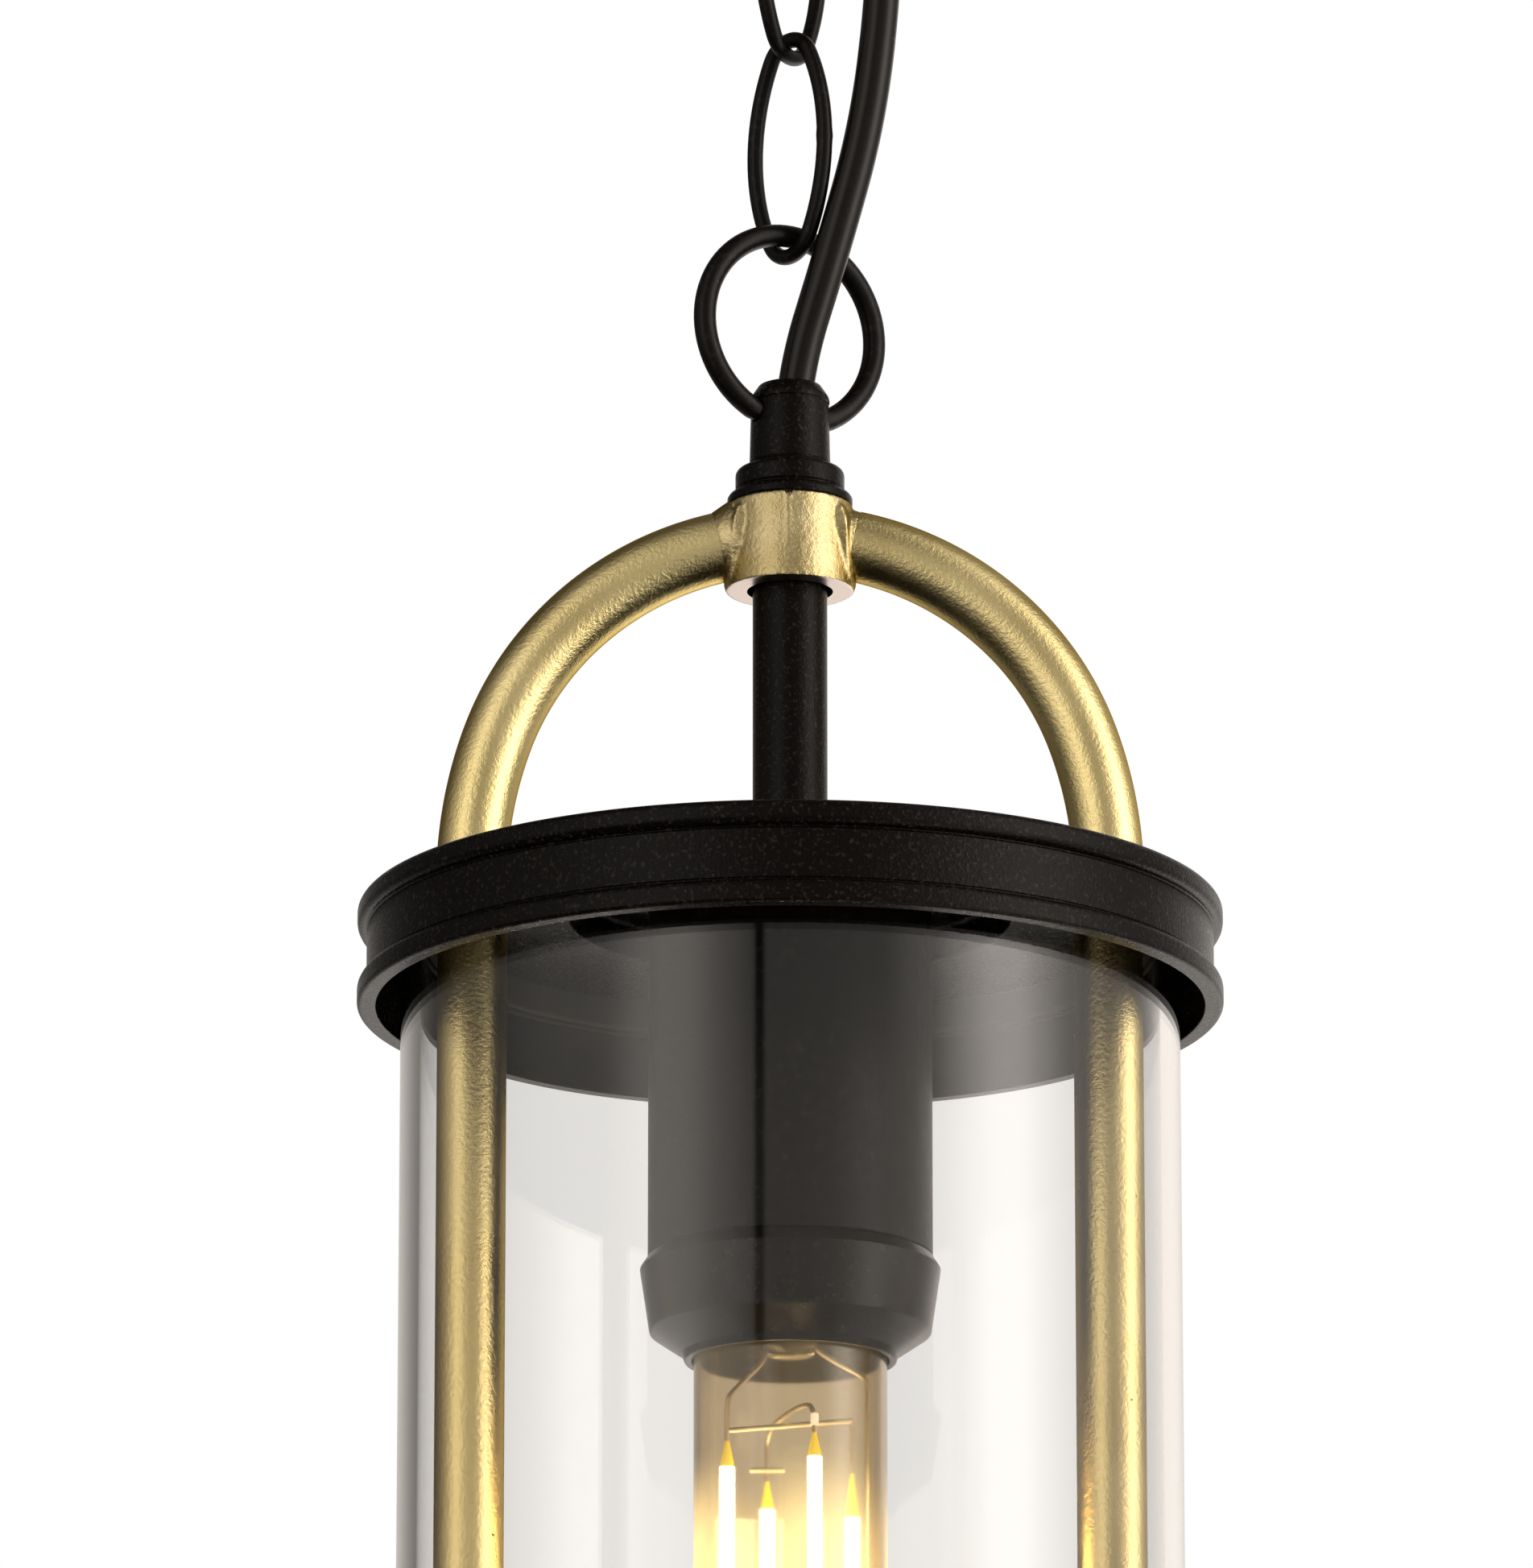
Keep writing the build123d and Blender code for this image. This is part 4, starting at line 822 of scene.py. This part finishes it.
def clear(name, colour, roughness=0.0, ior=1.46, waves=0.0):
    """A clear glass that lets the lamps' light through to what is behind it."""
    finish, tree, shader = material(name)
    feed(shader, Base_Color=colour, Roughness=roughness, IOR=ior, Transmission_Weight=1.0)
    if waves:
        draw_lines = noise(tree, 60.0, 1.0, place=on_piece(tree, (1.0, 1.0, 0.12)))
        feed(shader, Normal=add(tree, "Bump", Strength=waves, Distance=0.0002, Height=draw_lines))
    one_wall = add(tree, "BsdfTransparent", Color=[part**0.5 for part in colour])
    lamp_ray = add(tree, "LightPath").outputs["Is Shadow Ray"]
    choice = add(tree, "MixShader", _0=lamp_ray, _1=shader, _2=one_wall)
    feed(tree.nodes["Material Output"], Surface=choice)
    return finish


drawn_glass = clear("drawn_glass", (0.905, 0.895, 0.88))
glass_low, glass_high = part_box("glass_cylinder")
glass_radius = glass_high.x
glass_bore = glass_radius - 0.003
edge_polish = 0.0006
fit("glass_tube", turned([
    (glass_bore, glass_low.z, edge_polish),
    (glass_radius, glass_low.z, edge_polish),
    (glass_radius, glass_high.z, edge_polish),
    (glass_bore, glass_high.z, edge_polish),
], closed=True, facets=256), drawn_glass, "lantern", "clear_glass", "glass_cylinder")

# ----------------------------------------
# Gaskets. Channels of black rubber, one pushed over each edge of the glass. They keep it off
# the metal and from rattling.
gasket_rubber = moulded("gasket_rubber", (0.012, 0.012, 0.012), (0.022, 0.021, 0.020), 0.75, bump=0.15)
lip_wall = 0.0014
lip_corner = 0.0006
glass_gap = 0.0001
for name, seat, way in (("upper", glass_high.z, 1), ("lower", glass_low.z, -1)):
    gasket_low, gasket_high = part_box(f"{name}_gasket")
    web_z, lip_z = (gasket_high.z, gasket_low.z) if way > 0 else (gasket_low.z, gasket_high.z)
    fit(f"gasket_{name}", turned([
        (glass_radius + lip_wall, web_z, lip_corner),
        (glass_radius + lip_wall, lip_z, lip_corner),
        (glass_radius + glass_gap, lip_z, lip_corner / 2),
        (glass_radius + glass_gap, seat + way * glass_gap),
        (glass_bore - glass_gap, seat + way * glass_gap),
        (glass_bore - glass_gap, lip_z, lip_corner / 2),
        (glass_bore - lip_wall, lip_z, lip_corner),
        (glass_bore - lip_wall, web_z, lip_corner),
    ], closed=True, facets=192), gasket_rubber, "lantern", "rubber", f"{name}_gasket")

# ----------------------------------------
# Leg plugs and base screws. A domed brass screw with a slot under each leg draws the base ring
# up against the glass; it bites in a threaded plug inside the tube.
finish_nodes(bright_brass, "leg_plugs")
base_screw_low, base_screw_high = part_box("base_screws")
head_radius = 0.0055
head_height = base_low.z - base_screw_low.z
screw_shank = 0.0025
screw_point = 0.0008
slot_size = (0.02, 0.0011, 0.0024)
slot_yaw = 0.5
screws = bmesh.new()
slots = bmesh.new()
for side in (-1, 1):
    domed = turned([
        (0.0, base_screw_low.z),
        (head_radius * 0.55, base_screw_low.z + 0.0002, 0.004),
        (head_radius, base_screw_low.z + 0.55 * head_height, 0.0016),
        (head_radius, base_low.z, 0.0003),
        (screw_shank, base_low.z),
        (screw_shank, base_screw_high.z - screw_point),
        (screw_shank - screw_point, base_screw_high.z),
        (0.0, base_screw_high.z),
    ], facets=64)
    bmesh.ops.translate(domed, verts=domed.verts, vec=(side * half_span, 0, 0))
    screws.from_mesh(mesh_of("domed_screw", domed))
    block(slots, slot_size, (side * half_span, 0, base_screw_low.z), side * slot_yaw)
cut(fit("base_screw_pair", screws, bright_brass, "lantern", "brass", "base_screws"), slots)

# ----------------------------------------
# Lampholder cup. A drawn and coated metal cup, clamped under the cap, that hides the holder.
# The washer, nut and moulded holder inside it stay as the frame has them.
holder_coat = coated(
    "holder_coat", (0.0036, 0.0030, 0.0022), (0.014, 0.012, 0.010), 0.40, 0.14, 0.14, grain=2200.0
)
cup_low, cup_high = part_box("holder_cup")
cup_radius = cup_high.x
cup_wall = 0.0016
fit("holder_cup_drawn", turned([
    (rod_clearance, cup_high.z),
    (cup_radius, cup_high.z, 0.0016),
    (cup_radius, cup_low.z, 0.0003),
    (cup_radius - cup_wall, cup_low.z, 0.0003),
    (cup_radius - cup_wall, cup_high.z - cup_wall, 0.0008),
    (rod_clearance, cup_high.z - cup_wall),
], closed=True), holder_coat, "lantern", "skirt_black", "holder_cup")
finish_nodes(zinc_plate, "cap_washer", "cap_locknut")
finish_nodes(black_moulding, "holder_top", "holder_body")
finish_nodes(bright_brass, "screw_shell", "centre_contact")

# ----------------------------------------
# Holder skirt. A flared ring spun from aluminium and coated black, which turns on the holder's
# body; its edge is folded in round the bulb's neck.
skirt_coat = coated(
    "skirt_coat", (0.0040, 0.0030, 0.0018), (0.014, 0.011, 0.008), 0.22, 0.05, 0.20, grain=2200.0
)
skirt_low, skirt_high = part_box("holder_skirt")
skirt_flare = skirt_high.x
skirt_top = skirt_high.z
skirt_foot = skirt_low.z
body_clearance = 0.01965
lip_bore = 0.0151
fit("holder_skirt_ring", turned([
    (body_clearance, skirt_top),
    (skirt_flare - 0.00115, skirt_top, 0.0003),
    (skirt_flare, skirt_top - 0.0018, 0.0003),
    (skirt_flare - 0.00145, skirt_foot + 0.0046, 0.0004),
    (lip_bore + 0.0015, skirt_foot + 0.0012, 0.0004),
    (lip_bore + 0.0011, skirt_foot, 0.0003),
    (lip_bore, skirt_foot, 0.0003),
    (lip_bore, skirt_foot + 0.002, 0.0006),
    (body_clearance, skirt_foot + 0.0048, 0.0006),
], closed=True, facets=192), skirt_coat, "skirt", "skirt_black", "holder_skirt")

# ----------------------------------------
# Bulb cap. Nickel-plated brass rolled to a coarse screw thread, with a black glass insulator
# and a solder-tipped contact on top.
nickel_plate = plated("nickel_plate", (0.66, 0.62, 0.55), 0.24, (1.0, 1.0, 0.1), 0.06)
black_vitrite = moulded("black_vitrite", (0.010, 0.010, 0.011), (0.02, 0.02, 0.02), 0.16)
finish_nodes(black_vitrite, "bulb_insulator")
finish_nodes(nickel_plate, "bulb_contact")
screw_cap_low, screw_cap_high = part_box("bulb_cap")
screw_cap_radius = screw_cap_high.x
screw_cap_neck = screw_cap_radius - 0.0010
screw_pitch = 0.00363
screw_wave = 0.00055
thread_turns = 5
thread_facets = 64
wave_steps = 10
wave_foot = screw_cap_low.z - screw_pitch + 0.0012
thread_foot = screw_cap_low.z + 0.0016
thread_head = screw_cap_high.z - 0.0026
screw_cap = bmesh.new()
# One pitch of the rolled wave, spun upwards turn after turn and then trimmed square
wave_points = [
    screw_cap.verts.new((
        screw_cap_radius - screw_wave + screw_wave * cos(2 * pi * step / wave_steps), 0,
        wave_foot + screw_pitch * step / wave_steps,
    ))
    for step in range(wave_steps + 1)
]
wave = [screw_cap.edges.new(pair) for pair in zip(wave_points, wave_points[1:])]
bmesh.ops.spin(
    screw_cap, geom=wave_points + wave, cent=(0, 0, 0), axis=(0, 0, 1),
    dvec=(0, 0, screw_pitch / thread_facets), angle=2 * pi * thread_turns,
    steps=thread_facets * thread_turns, use_merge=False, use_duplicate=False,
)
bmesh.ops.remove_doubles(screw_cap, verts=screw_cap.verts, dist=2 * same_spot)
for level, above in ((thread_foot, False), (thread_head, True)):
    bmesh.ops.bisect_plane(
        screw_cap, geom=screw_cap.verts[:] + screw_cap.edges[:] + screw_cap.faces[:],
        plane_co=(0, 0, level), plane_no=(0, 0, 1), clear_outer=above, clear_inner=not above,
    )
for outline in (
    [
        (screw_cap_radius - 0.0009, thread_head), (screw_cap_neck, screw_cap_high.z - 0.0006, 0.0006),
        (0.0060, screw_cap_high.z, 0.0003), (0.0, screw_cap_high.z),
    ],
    [
        (screw_cap_neck, thread_foot + 0.0001),
        (screw_cap_radius - 0.0001, screw_cap_low.z + 0.0008, 0.0004),
        (screw_cap_radius - 0.0001, screw_cap_low.z, 0.0002),
        (screw_cap_radius - 0.0007, screw_cap_low.z),
    ],
):
    screw_cap.from_mesh(mesh_of("bulb_cap_end", turned(outline, facets=thread_facets)))
fit("bulb_screw_cap", screw_cap, nickel_plate, "bulb", "nickel", "bulb_cap")

# ----------------------------------------
# Bulb envelope. Thin blown glass, fumed to amber: a neck cemented in the cap, a short shoulder,
# a long straight tube and a round end.
amber_glass = clear("amber_glass", (0.76, 0.66, 0.50), roughness=0.08, ior=1.5, waves=0.03)
bulb_low, bulb_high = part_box("bulb_glass")
filament_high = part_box("bulb_filaments")[1]
filament_circle = 0.0102
filament_turn = radians(200.6)
filament_feet = [
    (filament_circle * cos(angle), filament_circle * sin(angle))
    for angle in (filament_turn + place * pi / 2 for place in range(4))
]
# Painted glow: the fumed film is given an emission, most where the wall is near a filament, standing in for
# the little of the filaments' light it scatters
film_tree = amber_glass.node_tree
film_place = add(film_tree, "SeparateXYZ", Vector=on_piece(film_tree)).outputs
film_level = add(film_tree, "CombineXYZ", X=film_place["X"], Y=film_place["Y"])
film_sum = 0.0
for x, y in filament_feet:
    gap = add(film_tree, "VectorMath", {"operation": "DISTANCE"}, _0=film_level, _1=(x, y, 0.0))
    near_one = spread(film_tree, gap, (0.0036, 0.0104), (1.0, 0.0), "SMOOTHERSTEP")
    film_sum = work_out(film_tree, "ADD", film_sum, near_one)
film_fade = spread(
    film_tree, film_place["Z"], (filament_high.z - 0.0200, filament_high.z - 0.0010), (1.0, 0.05),
    "SMOOTHSTEP",
)
painted_film_glow = work_out(film_tree, "MULTIPLY", film_sum, film_fade)
# Seen edge on, the fumed wall is a deeper brown
film_edge = add(film_tree, "LayerWeight", Blend=0.30).outputs["Facing"]
feed(
    film_tree.nodes["Principled BSDF"],
    Emission_Color=mixed(film_tree, painted_film_glow, (0.0, 0.0, 0.0), (1.0, 0.74, 0.29)),
    Emission_Strength=0.66,
    Base_Color=mixed(film_tree, film_edge, (0.765, 0.67, 0.515), (0.45, 0.32, 0.16)),
)
bulb_radius = bulb_high.x
bulb_wall = 0.0009
bulb_neck = 0.0123
shoulder_drop = 0.0047
blunt_corner = radians(50)
shoulder_steps = 6
end_steps = 20


def envelope(radius, neck, foot):
    """Half of the bulb's outline at one side of its wall, from the neck's rim to the tip."""
    shoulder = [
        (
            neck + (radius - neck) * (0.5 - 0.5 * cos(pi * step / shoulder_steps)),
            screw_cap_low.z - shoulder_drop * step / shoulder_steps,
        )
        for step in range(shoulder_steps + 1)
    ]
    end = [
        (radius * cos(angle), foot + radius - radius * sin(angle))
        for angle in (pi / 2 * step / end_steps for step in range(end_steps + 1))
    ]
    return [(neck, bulb_high.z), *shoulder, *end]


outside = envelope(bulb_radius, bulb_neck, bulb_low.z)
inside = envelope(bulb_radius - bulb_wall, bulb_neck - bulb_wall, bulb_low.z + bulb_wall)
wall = turned(outside + inside[::-1], closed=True, facets=128)
bmesh.ops.remove_doubles(wall, verts=wall.verts, dist=same_spot)
bmesh.ops.delete(wall, geom=[edge for edge in wall.edges if not edge.link_faces], context="EDGES")
fit("bulb_envelope", wall, amber_glass, "bulb", "amber_glass", "bulb_glass", crease=blunt_corner)

# ----------------------------------------
# Bulb stem. A clear glass flare sealed in the neck and pressed flat below round the two leads.
# Its pressed foot is half as thick as it is wide.
stem_glass_clear = clear("stem_glass_clear", (0.97, 0.95, 0.90), ior=1.52)
pinch_low, pinch_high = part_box("bulb_stem")
pinch = turned([
    (0.0, pinch_low.z),
    (0.0036, pinch_low.z, 0.0012),
    (0.0044, pinch_low.z + 0.0022, 0.0012),
    (0.0038, pinch_low.z + 0.0062, 0.0018),
    (0.0060, pinch_high.z - 0.0030, 0.0026),
    (0.0112, pinch_high.z - 0.0002, 0.0004),
    (0.0100, pinch_high.z),
    (0.0, pinch_high.z),
], facets=64)
pressed = [vert for vert in pinch.verts if vert.co.z < pinch_low.z + 0.0060]
bmesh.ops.scale(pinch, verts=pressed, vec=(1.0, 0.5, 1.0))
fit("bulb_pinch", pinch, stem_glass_clear, "bulb", "stem_glass", "bulb_stem")

# ----------------------------------------
# Filaments. Four straight rods coated in phosphor, standing in a square. Lit, they glow nearly
# white, and each end narrows to a yellow unlit tip on its wire.
lit_phosphor, lit_tree, lit_shader = material("lit_phosphor")
feed(
    lit_shader, Base_Color=(1.0, 0.75, 0.25), Roughness=0.6, Emission_Strength=17.0,
    Emission_Color=mixed(lit_tree, noise(lit_tree, 700.0), (1.0, 0.84, 0.52), (1.0, 0.91, 0.66)),
)
tip_phosphor, tip_tree, tip_shader = material("tip_phosphor")
feed(
    tip_shader, Emission_Color=(0.95, 0.74, 0.02), Emission_Strength=0.62,
    Base_Color=mixed(tip_tree, noise(tip_tree, 900.0), (0.90, 0.70, 0.02), (1.0, 0.85, 0.04)),
)

filament_radius = 0.0011
filament_length = 0.118
filament_stagger = 0.0037
tip_end, tip_waist, tip_share = 0.0003, 0.0008, 0.6
lower_tip = 0.0042
upper_tips = (0.0041, 0.0037, 0.0068, 0.0044)
filament_spots = []
rods = bmesh.new()
for place, (x, y) in enumerate(filament_feet):
    top = filament_high.z - filament_stagger * (place // 2)
    foot = top - filament_length
    upper_tip = upper_tips[place]
    filament_spots.append(Vector((x, y, top)))
    rod = turned([
        (0.0, foot),
        (tip_end, foot),
        (tip_waist, foot + tip_share * lower_tip, tip_waist),
        (filament_radius, foot + lower_tip),
        (filament_radius, top - upper_tip),
        (tip_waist, top - tip_share * upper_tip, tip_waist),
        (tip_end, top),
        (0.0, top),
    ], facets=20)
    bmesh.ops.translate(rod, verts=rod.verts, vec=(x, y, 0))
    for face in rod.faces:
        lit = foot + lower_tip < face.calc_center_median().z < top - upper_tip
        face.material_index = 0 if lit else 1
    rods.from_mesh(mesh_of("filament", rod))
filaments = fit("bulb_filament_rods", rods, lit_phosphor, "bulb", "filament", "bulb_filaments")
filaments.data.materials.append(tip_phosphor)

# ----------------------------------------
# Lead wires. Bright nickel wires: two bridges that cross above the filaments and two below, one
# short lead from the stem to the first filament and one long lead down the wall to the foot.


def smooth_line(route, resolution, radius=0.0):
    """The mesh of a smooth line through given points, or of a round wire along it."""
    line = bpy.data.curves.new("line", "CURVE")
    line.dimensions = "3D"
    line.bevel_depth = radius
    line.bevel_resolution = 3
    line.use_fill_caps = True
    spline = line.splines.new("NURBS")
    spline.points.add(len(route) - 1)
    for point, spot in zip(spline.points, route):
        point.co = (*spot, 1.0)
    spline.order_u = 3
    spline.use_endpoint_u = True
    spline.resolution_u = resolution
    holder = bpy.data.objects.new("line", line)
    mesh = bpy.data.meshes.new_from_object(holder)
    bpy.data.objects.remove(holder)
    return mesh


def by(spot, z, x=0.0, y=0.0):
    """A point at a level, straight over or under a spot or a little to its side."""
    return (spot.x + x, spot.y + y, z)


bridge_rise = 0.0018
bridge_step = 0.0022
lead_radius = 0.0004
lead_exit = 0.0036
long_lead_x = bulb_radius - bulb_wall - 0.002
stop_reach = 0.0027
first, second, third, fourth = filament_spots
leads = [
    # The upper bridges: one slants up from the first filament, the other arches over it
    [first, *[by(first, first.z + 0.0016)] * 2, *[by(third, first.z + 0.0047)] * 2, third],
    [
        second, by(second, second.z + 0.0026), (second.x * 0.82, second.y * 0.84, second.z + 0.0050),
        (0, 0, second.z + 0.0054), by(fourth, second.z + 0.0044), by(fourth, fourth.z + 0.003),
        fourth,
    ],
    # A stop wire across the fourth filament's tip
    [by(fourth, fourth.z + 0.0018, x, -0.0005) for x in (-stop_reach, 0, stop_reach)],
]
for place, (near, far) in enumerate(((first, third), (second, fourth))):
    under = far.z - filament_length - bridge_rise - bridge_step * place
    leads.append([
        by(near, near.z - filament_length), *[by(near, under)] * 2, *[by(far, under)] * 2,
        by(far, far.z - filament_length),
    ])
long_foot = third.z - filament_length - bridge_rise
leads += [
    [
        (-lead_exit, 0, pinch_low.z + 0.002), (-lead_exit + 0.0004, 0, pinch_low.z + 0.0004),
        (first.x * 0.86, first.y * 0.7, pinch_low.z - 0.0052),
        (first.x * 0.97, first.y * 0.95, pinch_low.z - 0.0066),
        by(first, pinch_low.z - 0.0080), by(first, first.z + 0.0030), first,
    ],
    [
        (lead_exit, 0, pinch_low.z + 0.002), (lead_exit + 0.0006, 0, pinch_low.z + 0.0010),
        (lead_exit + 0.0048, 0, pinch_low.z - 0.0014),
        (long_lead_x - 0.0007, 0, pinch_low.z - 0.0029), (long_lead_x, 0, pinch_low.z - 0.0044),
        (long_lead_x, 0, pinch_low.z - 0.0080), *[(long_lead_x, 0, long_foot)] * 2, (0, 0, long_foot),
    ],
]
wires = bmesh.new()
for route in leads:
    wires.from_mesh(smooth_line(route, 8, lead_radius))
# A white glass bead holds the wire over the second filament
white_bead = moulded("white_bead", (0.80, 0.79, 0.74), (0.86, 0.85, 0.80), 0.30)
# Painted glow: the bead is given an emission, standing in for the filaments' light falling on it
feed(
    white_bead.node_tree.nodes["Principled BSDF"], Emission_Color=(1.0, 0.96, 0.88),
    Emission_Strength=0.9,
)
bead = pin(wires, 0.0006, 0.0018, by(second, second.z + 0.0021), facets=16)
for face in faces_at(bead):
    face.material_index = 1
lead_wire = plated("lead_wire", (0.95, 0.90, 0.78), 0.40, (1.0, 1.0, 1.0), 0.05)
lead_piece = fit("bulb_lead_wires", wires, lead_wire, "bulb", "nickel", "bulb_leads")
lead_piece.data.materials.append(white_bead)

# ----------------------------------------
# Flex. Round black flex, 5.7 mm thick, that leaves the neck upright, leans out past the ring and
# runs up beside the chain into the grip in the rose. It is cut where one joint's bend ends and
# the next begins.
flex_sheath = moulded(
    "flex_sheath", (0.0030, 0.0022, 0.0018), (0.006, 0.0045, 0.0035), 0.24, bump=0.10, shine=0.23
)
finish_nodes(flex_sheath, "inner_cable")
flex_route = [
    (0.0, 0.0, -0.191), (0.0, 0.0, -0.1777), (0.0069, -0.0042, -0.1557), (0.0121, -0.0056, -0.1365),
    (0.0146, -0.0056, -0.116), (0.0154, -0.0053, -0.093), (0.015, -0.0055, -0.069),
    (0.016, -0.005, -0.043), (0.016, -0.005, -0.018),
]
route_line = [vert.co.copy() for vert in smooth_line(flex_route, 24).vertices]
flex_facets = 28
flex_lengths = [
    # the two bodies, and the levels where this length ends and its bend starts and ends
    ("lantern", "ring", -0.1569, -0.175, -0.161),
    ("ring", "link_1", -0.1225, -0.156, -0.126),
    ("link_1", "link_2", -0.0876, -0.122, -0.091),
    ("link_2", "link_3", -0.0528, -0.087, -0.056),
    ("link_3", "ceiling", 0.0, -0.0525, -0.040),
]
first_point = 0
for number, (below, above, top, bend_start, bend_end) in enumerate(flex_lengths, start=1):
    last_point = first_point
    while last_point < len(route_line) - 1 and route_line[last_point].z < top:
        last_point += 1
    path = route_line[first_point:last_point + 1]
    flex = bmesh.new()
    heading = path[1] - path[0]
    facing = heading.to_track_quat("Z", "Y").to_matrix().to_4x4()
    flex_end = wire_start(flex, flex_radius, path[0], flex_facets, facing)
    for place, (here, there) in enumerate(zip(path, path[1:]), start=1):
        flex_end = run(flex, flex_end, there - here)
        after = path[place + 1] - path[place - 1] if place + 1 < len(path) else there - here
        bmesh.ops.rotate(
            flex, verts=only(bmesh.types.BMVert, flex_end), cent=there,
            matrix=heading.rotation_difference(after).to_matrix(),
        )
        heading = after
    bmesh.ops.holes_fill(flex, edges=flex.edges)
    bmesh.ops.recalc_face_normals(flex, faces=flex.faces)
    flex_mesh = mesh_of(f"flex_length_{number}", flex)
    flex_mesh.materials.append(flex_sheath)
    shade(flex_mesh, blunt_corner)
    length_piece = put_in_scene(f"flex_length_{number}", flex_mesh)
    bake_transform(length_piece)
    if number == 1:
        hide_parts("supply_cable")
    first_point = last_point

# ----------------------------------------
# Studio. A pale floor well below the lantern, white paper all round it, a tall soft light on
# the right and a weaker one on the left, with a dark slot between them where the camera is.
floor_work = bmesh.new()
bmesh.ops.create_grid(
    floor_work, x_segments=4, y_segments=4, size=3.0, matrix=Matrix.Translation((0, 0, -1.15))
)
floor = put_in_scene("floor", mesh_of("floor", floor_work))
paper, _, paper_shader = material("paper")
feed(
    paper_shader, Base_Color=(0.86, 0.855, 0.84), Roughness=0.9, Emission_Color=(1.0, 0.995, 0.98),
    Emission_Strength=0.35,
)
floor.data.materials.append(paper)
floor.visible_glossy = False

world = bpy.data.worlds.new("studio")
bpy.context.scene.world = world
world.use_nodes = True
sky = world.node_tree
direction = add(sky, "SeparateXYZ", Vector=add(sky, "TexCoord").outputs["Generated"]).outputs
toward_camera = work_out(sky, "MULTIPLY", direction["Y"], -1.0)
bearing = work_out(sky, "ARCTAN2", direction["X"], toward_camera)
walls = add(sky, "ValToRGB", Fac=spread(sky, bearing, (-pi, pi), (0.0, 1.0)))
brightest = 4.0
wall_stops = [
    # degrees to the right of the camera, brightness
    (-180, 0.80), (-168, 0.60), (-150, 0.22), (-128, 0.12), (-108, 0.15), (-94, 0.30), (-80, 0.50),
    (-66, 0.62), (-56, 0.78), (-46, 1.50), (-38, 1.75), (-30, 1.60), (-22, 0.95), (-13, 0.50),
    (-11, 0.42), (-10, 0.02), (-8.5, 0.02), (-7, 0.36), (12, 0.40), (28, 0.50), (44, 1.20),
    (54, 2.80), (62, 4.00), (72, 4.00), (80, 2.60), (90, 1.30), (104, 0.55), (124, 0.38),
    (142, 1.00), (160, 1.10), (180, 0.80),
]
ramp = walls.color_ramp
while len(ramp.elements) > 1:
    ramp.elements.remove(ramp.elements[-1])
for place, (degrees_right, level) in enumerate(wall_stops):
    position = (degrees_right + 180) / 360
    stop = ramp.elements[0] if place == 0 else ramp.elements.new(position)
    stop.position = position
    stop.color = (*(level / brightest,) * 3, 1.0)
# Darker towards the floor, most on the left, brighter low down behind, and darker overhead
low = work_out(
    sky, "MAXIMUM", spread(sky, direction["X"], (-0.5, 0.5), (0.03, 0.65)),
    spread(sky, direction["Y"], (0.1, 0.7), (0.0, 2.6)),
)
upright = spread(sky, direction["Z"], (-0.50, -0.05), (low, 1.0))
overhead = spread(sky, direction["Z"], (0.40, 0.85), (1.0, 0.28))
between = work_out(sky, "MULTIPLY", upright, overhead)
shaded = mixed(sky, 1.0, walls, between, "MULTIPLY")
lit_room = mixed(sky, 1.0, shaded, (brightest, 3.74, 3.48), "MULTIPLY")
# White paper for the camera, straight on or through glass; the walls for every reflection
rays = add(sky, "LightPath").outputs
bounced = work_out(sky, "ADD", rays["Glossy Depth"], rays["Diffuse Depth"], clamped=True)
straight = work_out(sky, "SUBTRACT", 1.0, bounced)
through_glass = work_out(sky, "MULTIPLY", rays["Is Transmission Ray"], straight)
sees_paper = work_out(sky, "MAXIMUM", rays["Is Camera Ray"], through_glass)
feed(sky.nodes["Background"], Color=mixed(sky, sees_paper, lit_room, (1.0, 1.0, 1.0)))

lantern_middle = Vector((0, 0, -0.30))
soft_lights = [
    # degrees to the right of the camera, distance, height over the lantern, width, height, watts
    ("key", 64, 1.3, 0.15, 0.5, 1.2, 7.0),
    ("fill", -38, 1.5, 0.15, 0.7, 1.2, 3.0),
    ("top", 20, 0.9, 1.2, 0.8, 0.8, 1.2),
]
for name, right, distance, above, width, height, watts in soft_lights:
    lamp = bpy.data.lights.new(name, "AREA")
    lamp.shape = "RECTANGLE"
    lamp.size, lamp.size_y = width, height
    lamp.energy = watts
    toward = Vector((distance * sin(radians(right)), -distance * cos(radians(right)), above))
    lamp_object = put_in_scene(name, lamp)
    lamp_object.location = lantern_middle + toward
    lamp_object.rotation_euler = (-toward).to_track_quat("-Z", "Y").to_euler()
    lamp_object.visible_glossy = False
    lamp_object.visible_transmission = False

# ----------------------------------------
# Camera. A long lens from well below the lantern, looking slightly up at it.
camera_data = bpy.data.cameras.new("camera")
camera_data.lens = 277.4
camera_data.sensor_width = 36.0
camera_data.clip_start = 0.05
camera = put_in_scene("camera", camera_data)
camera.location = (-0.00365, -1.805, -0.7309)
camera.rotation_euler = (pi / 2 + radians(15.16), 0, 0)
bpy.context.scene.camera = camera
bpy.context.scene.view_settings.view_transform = "Standard"
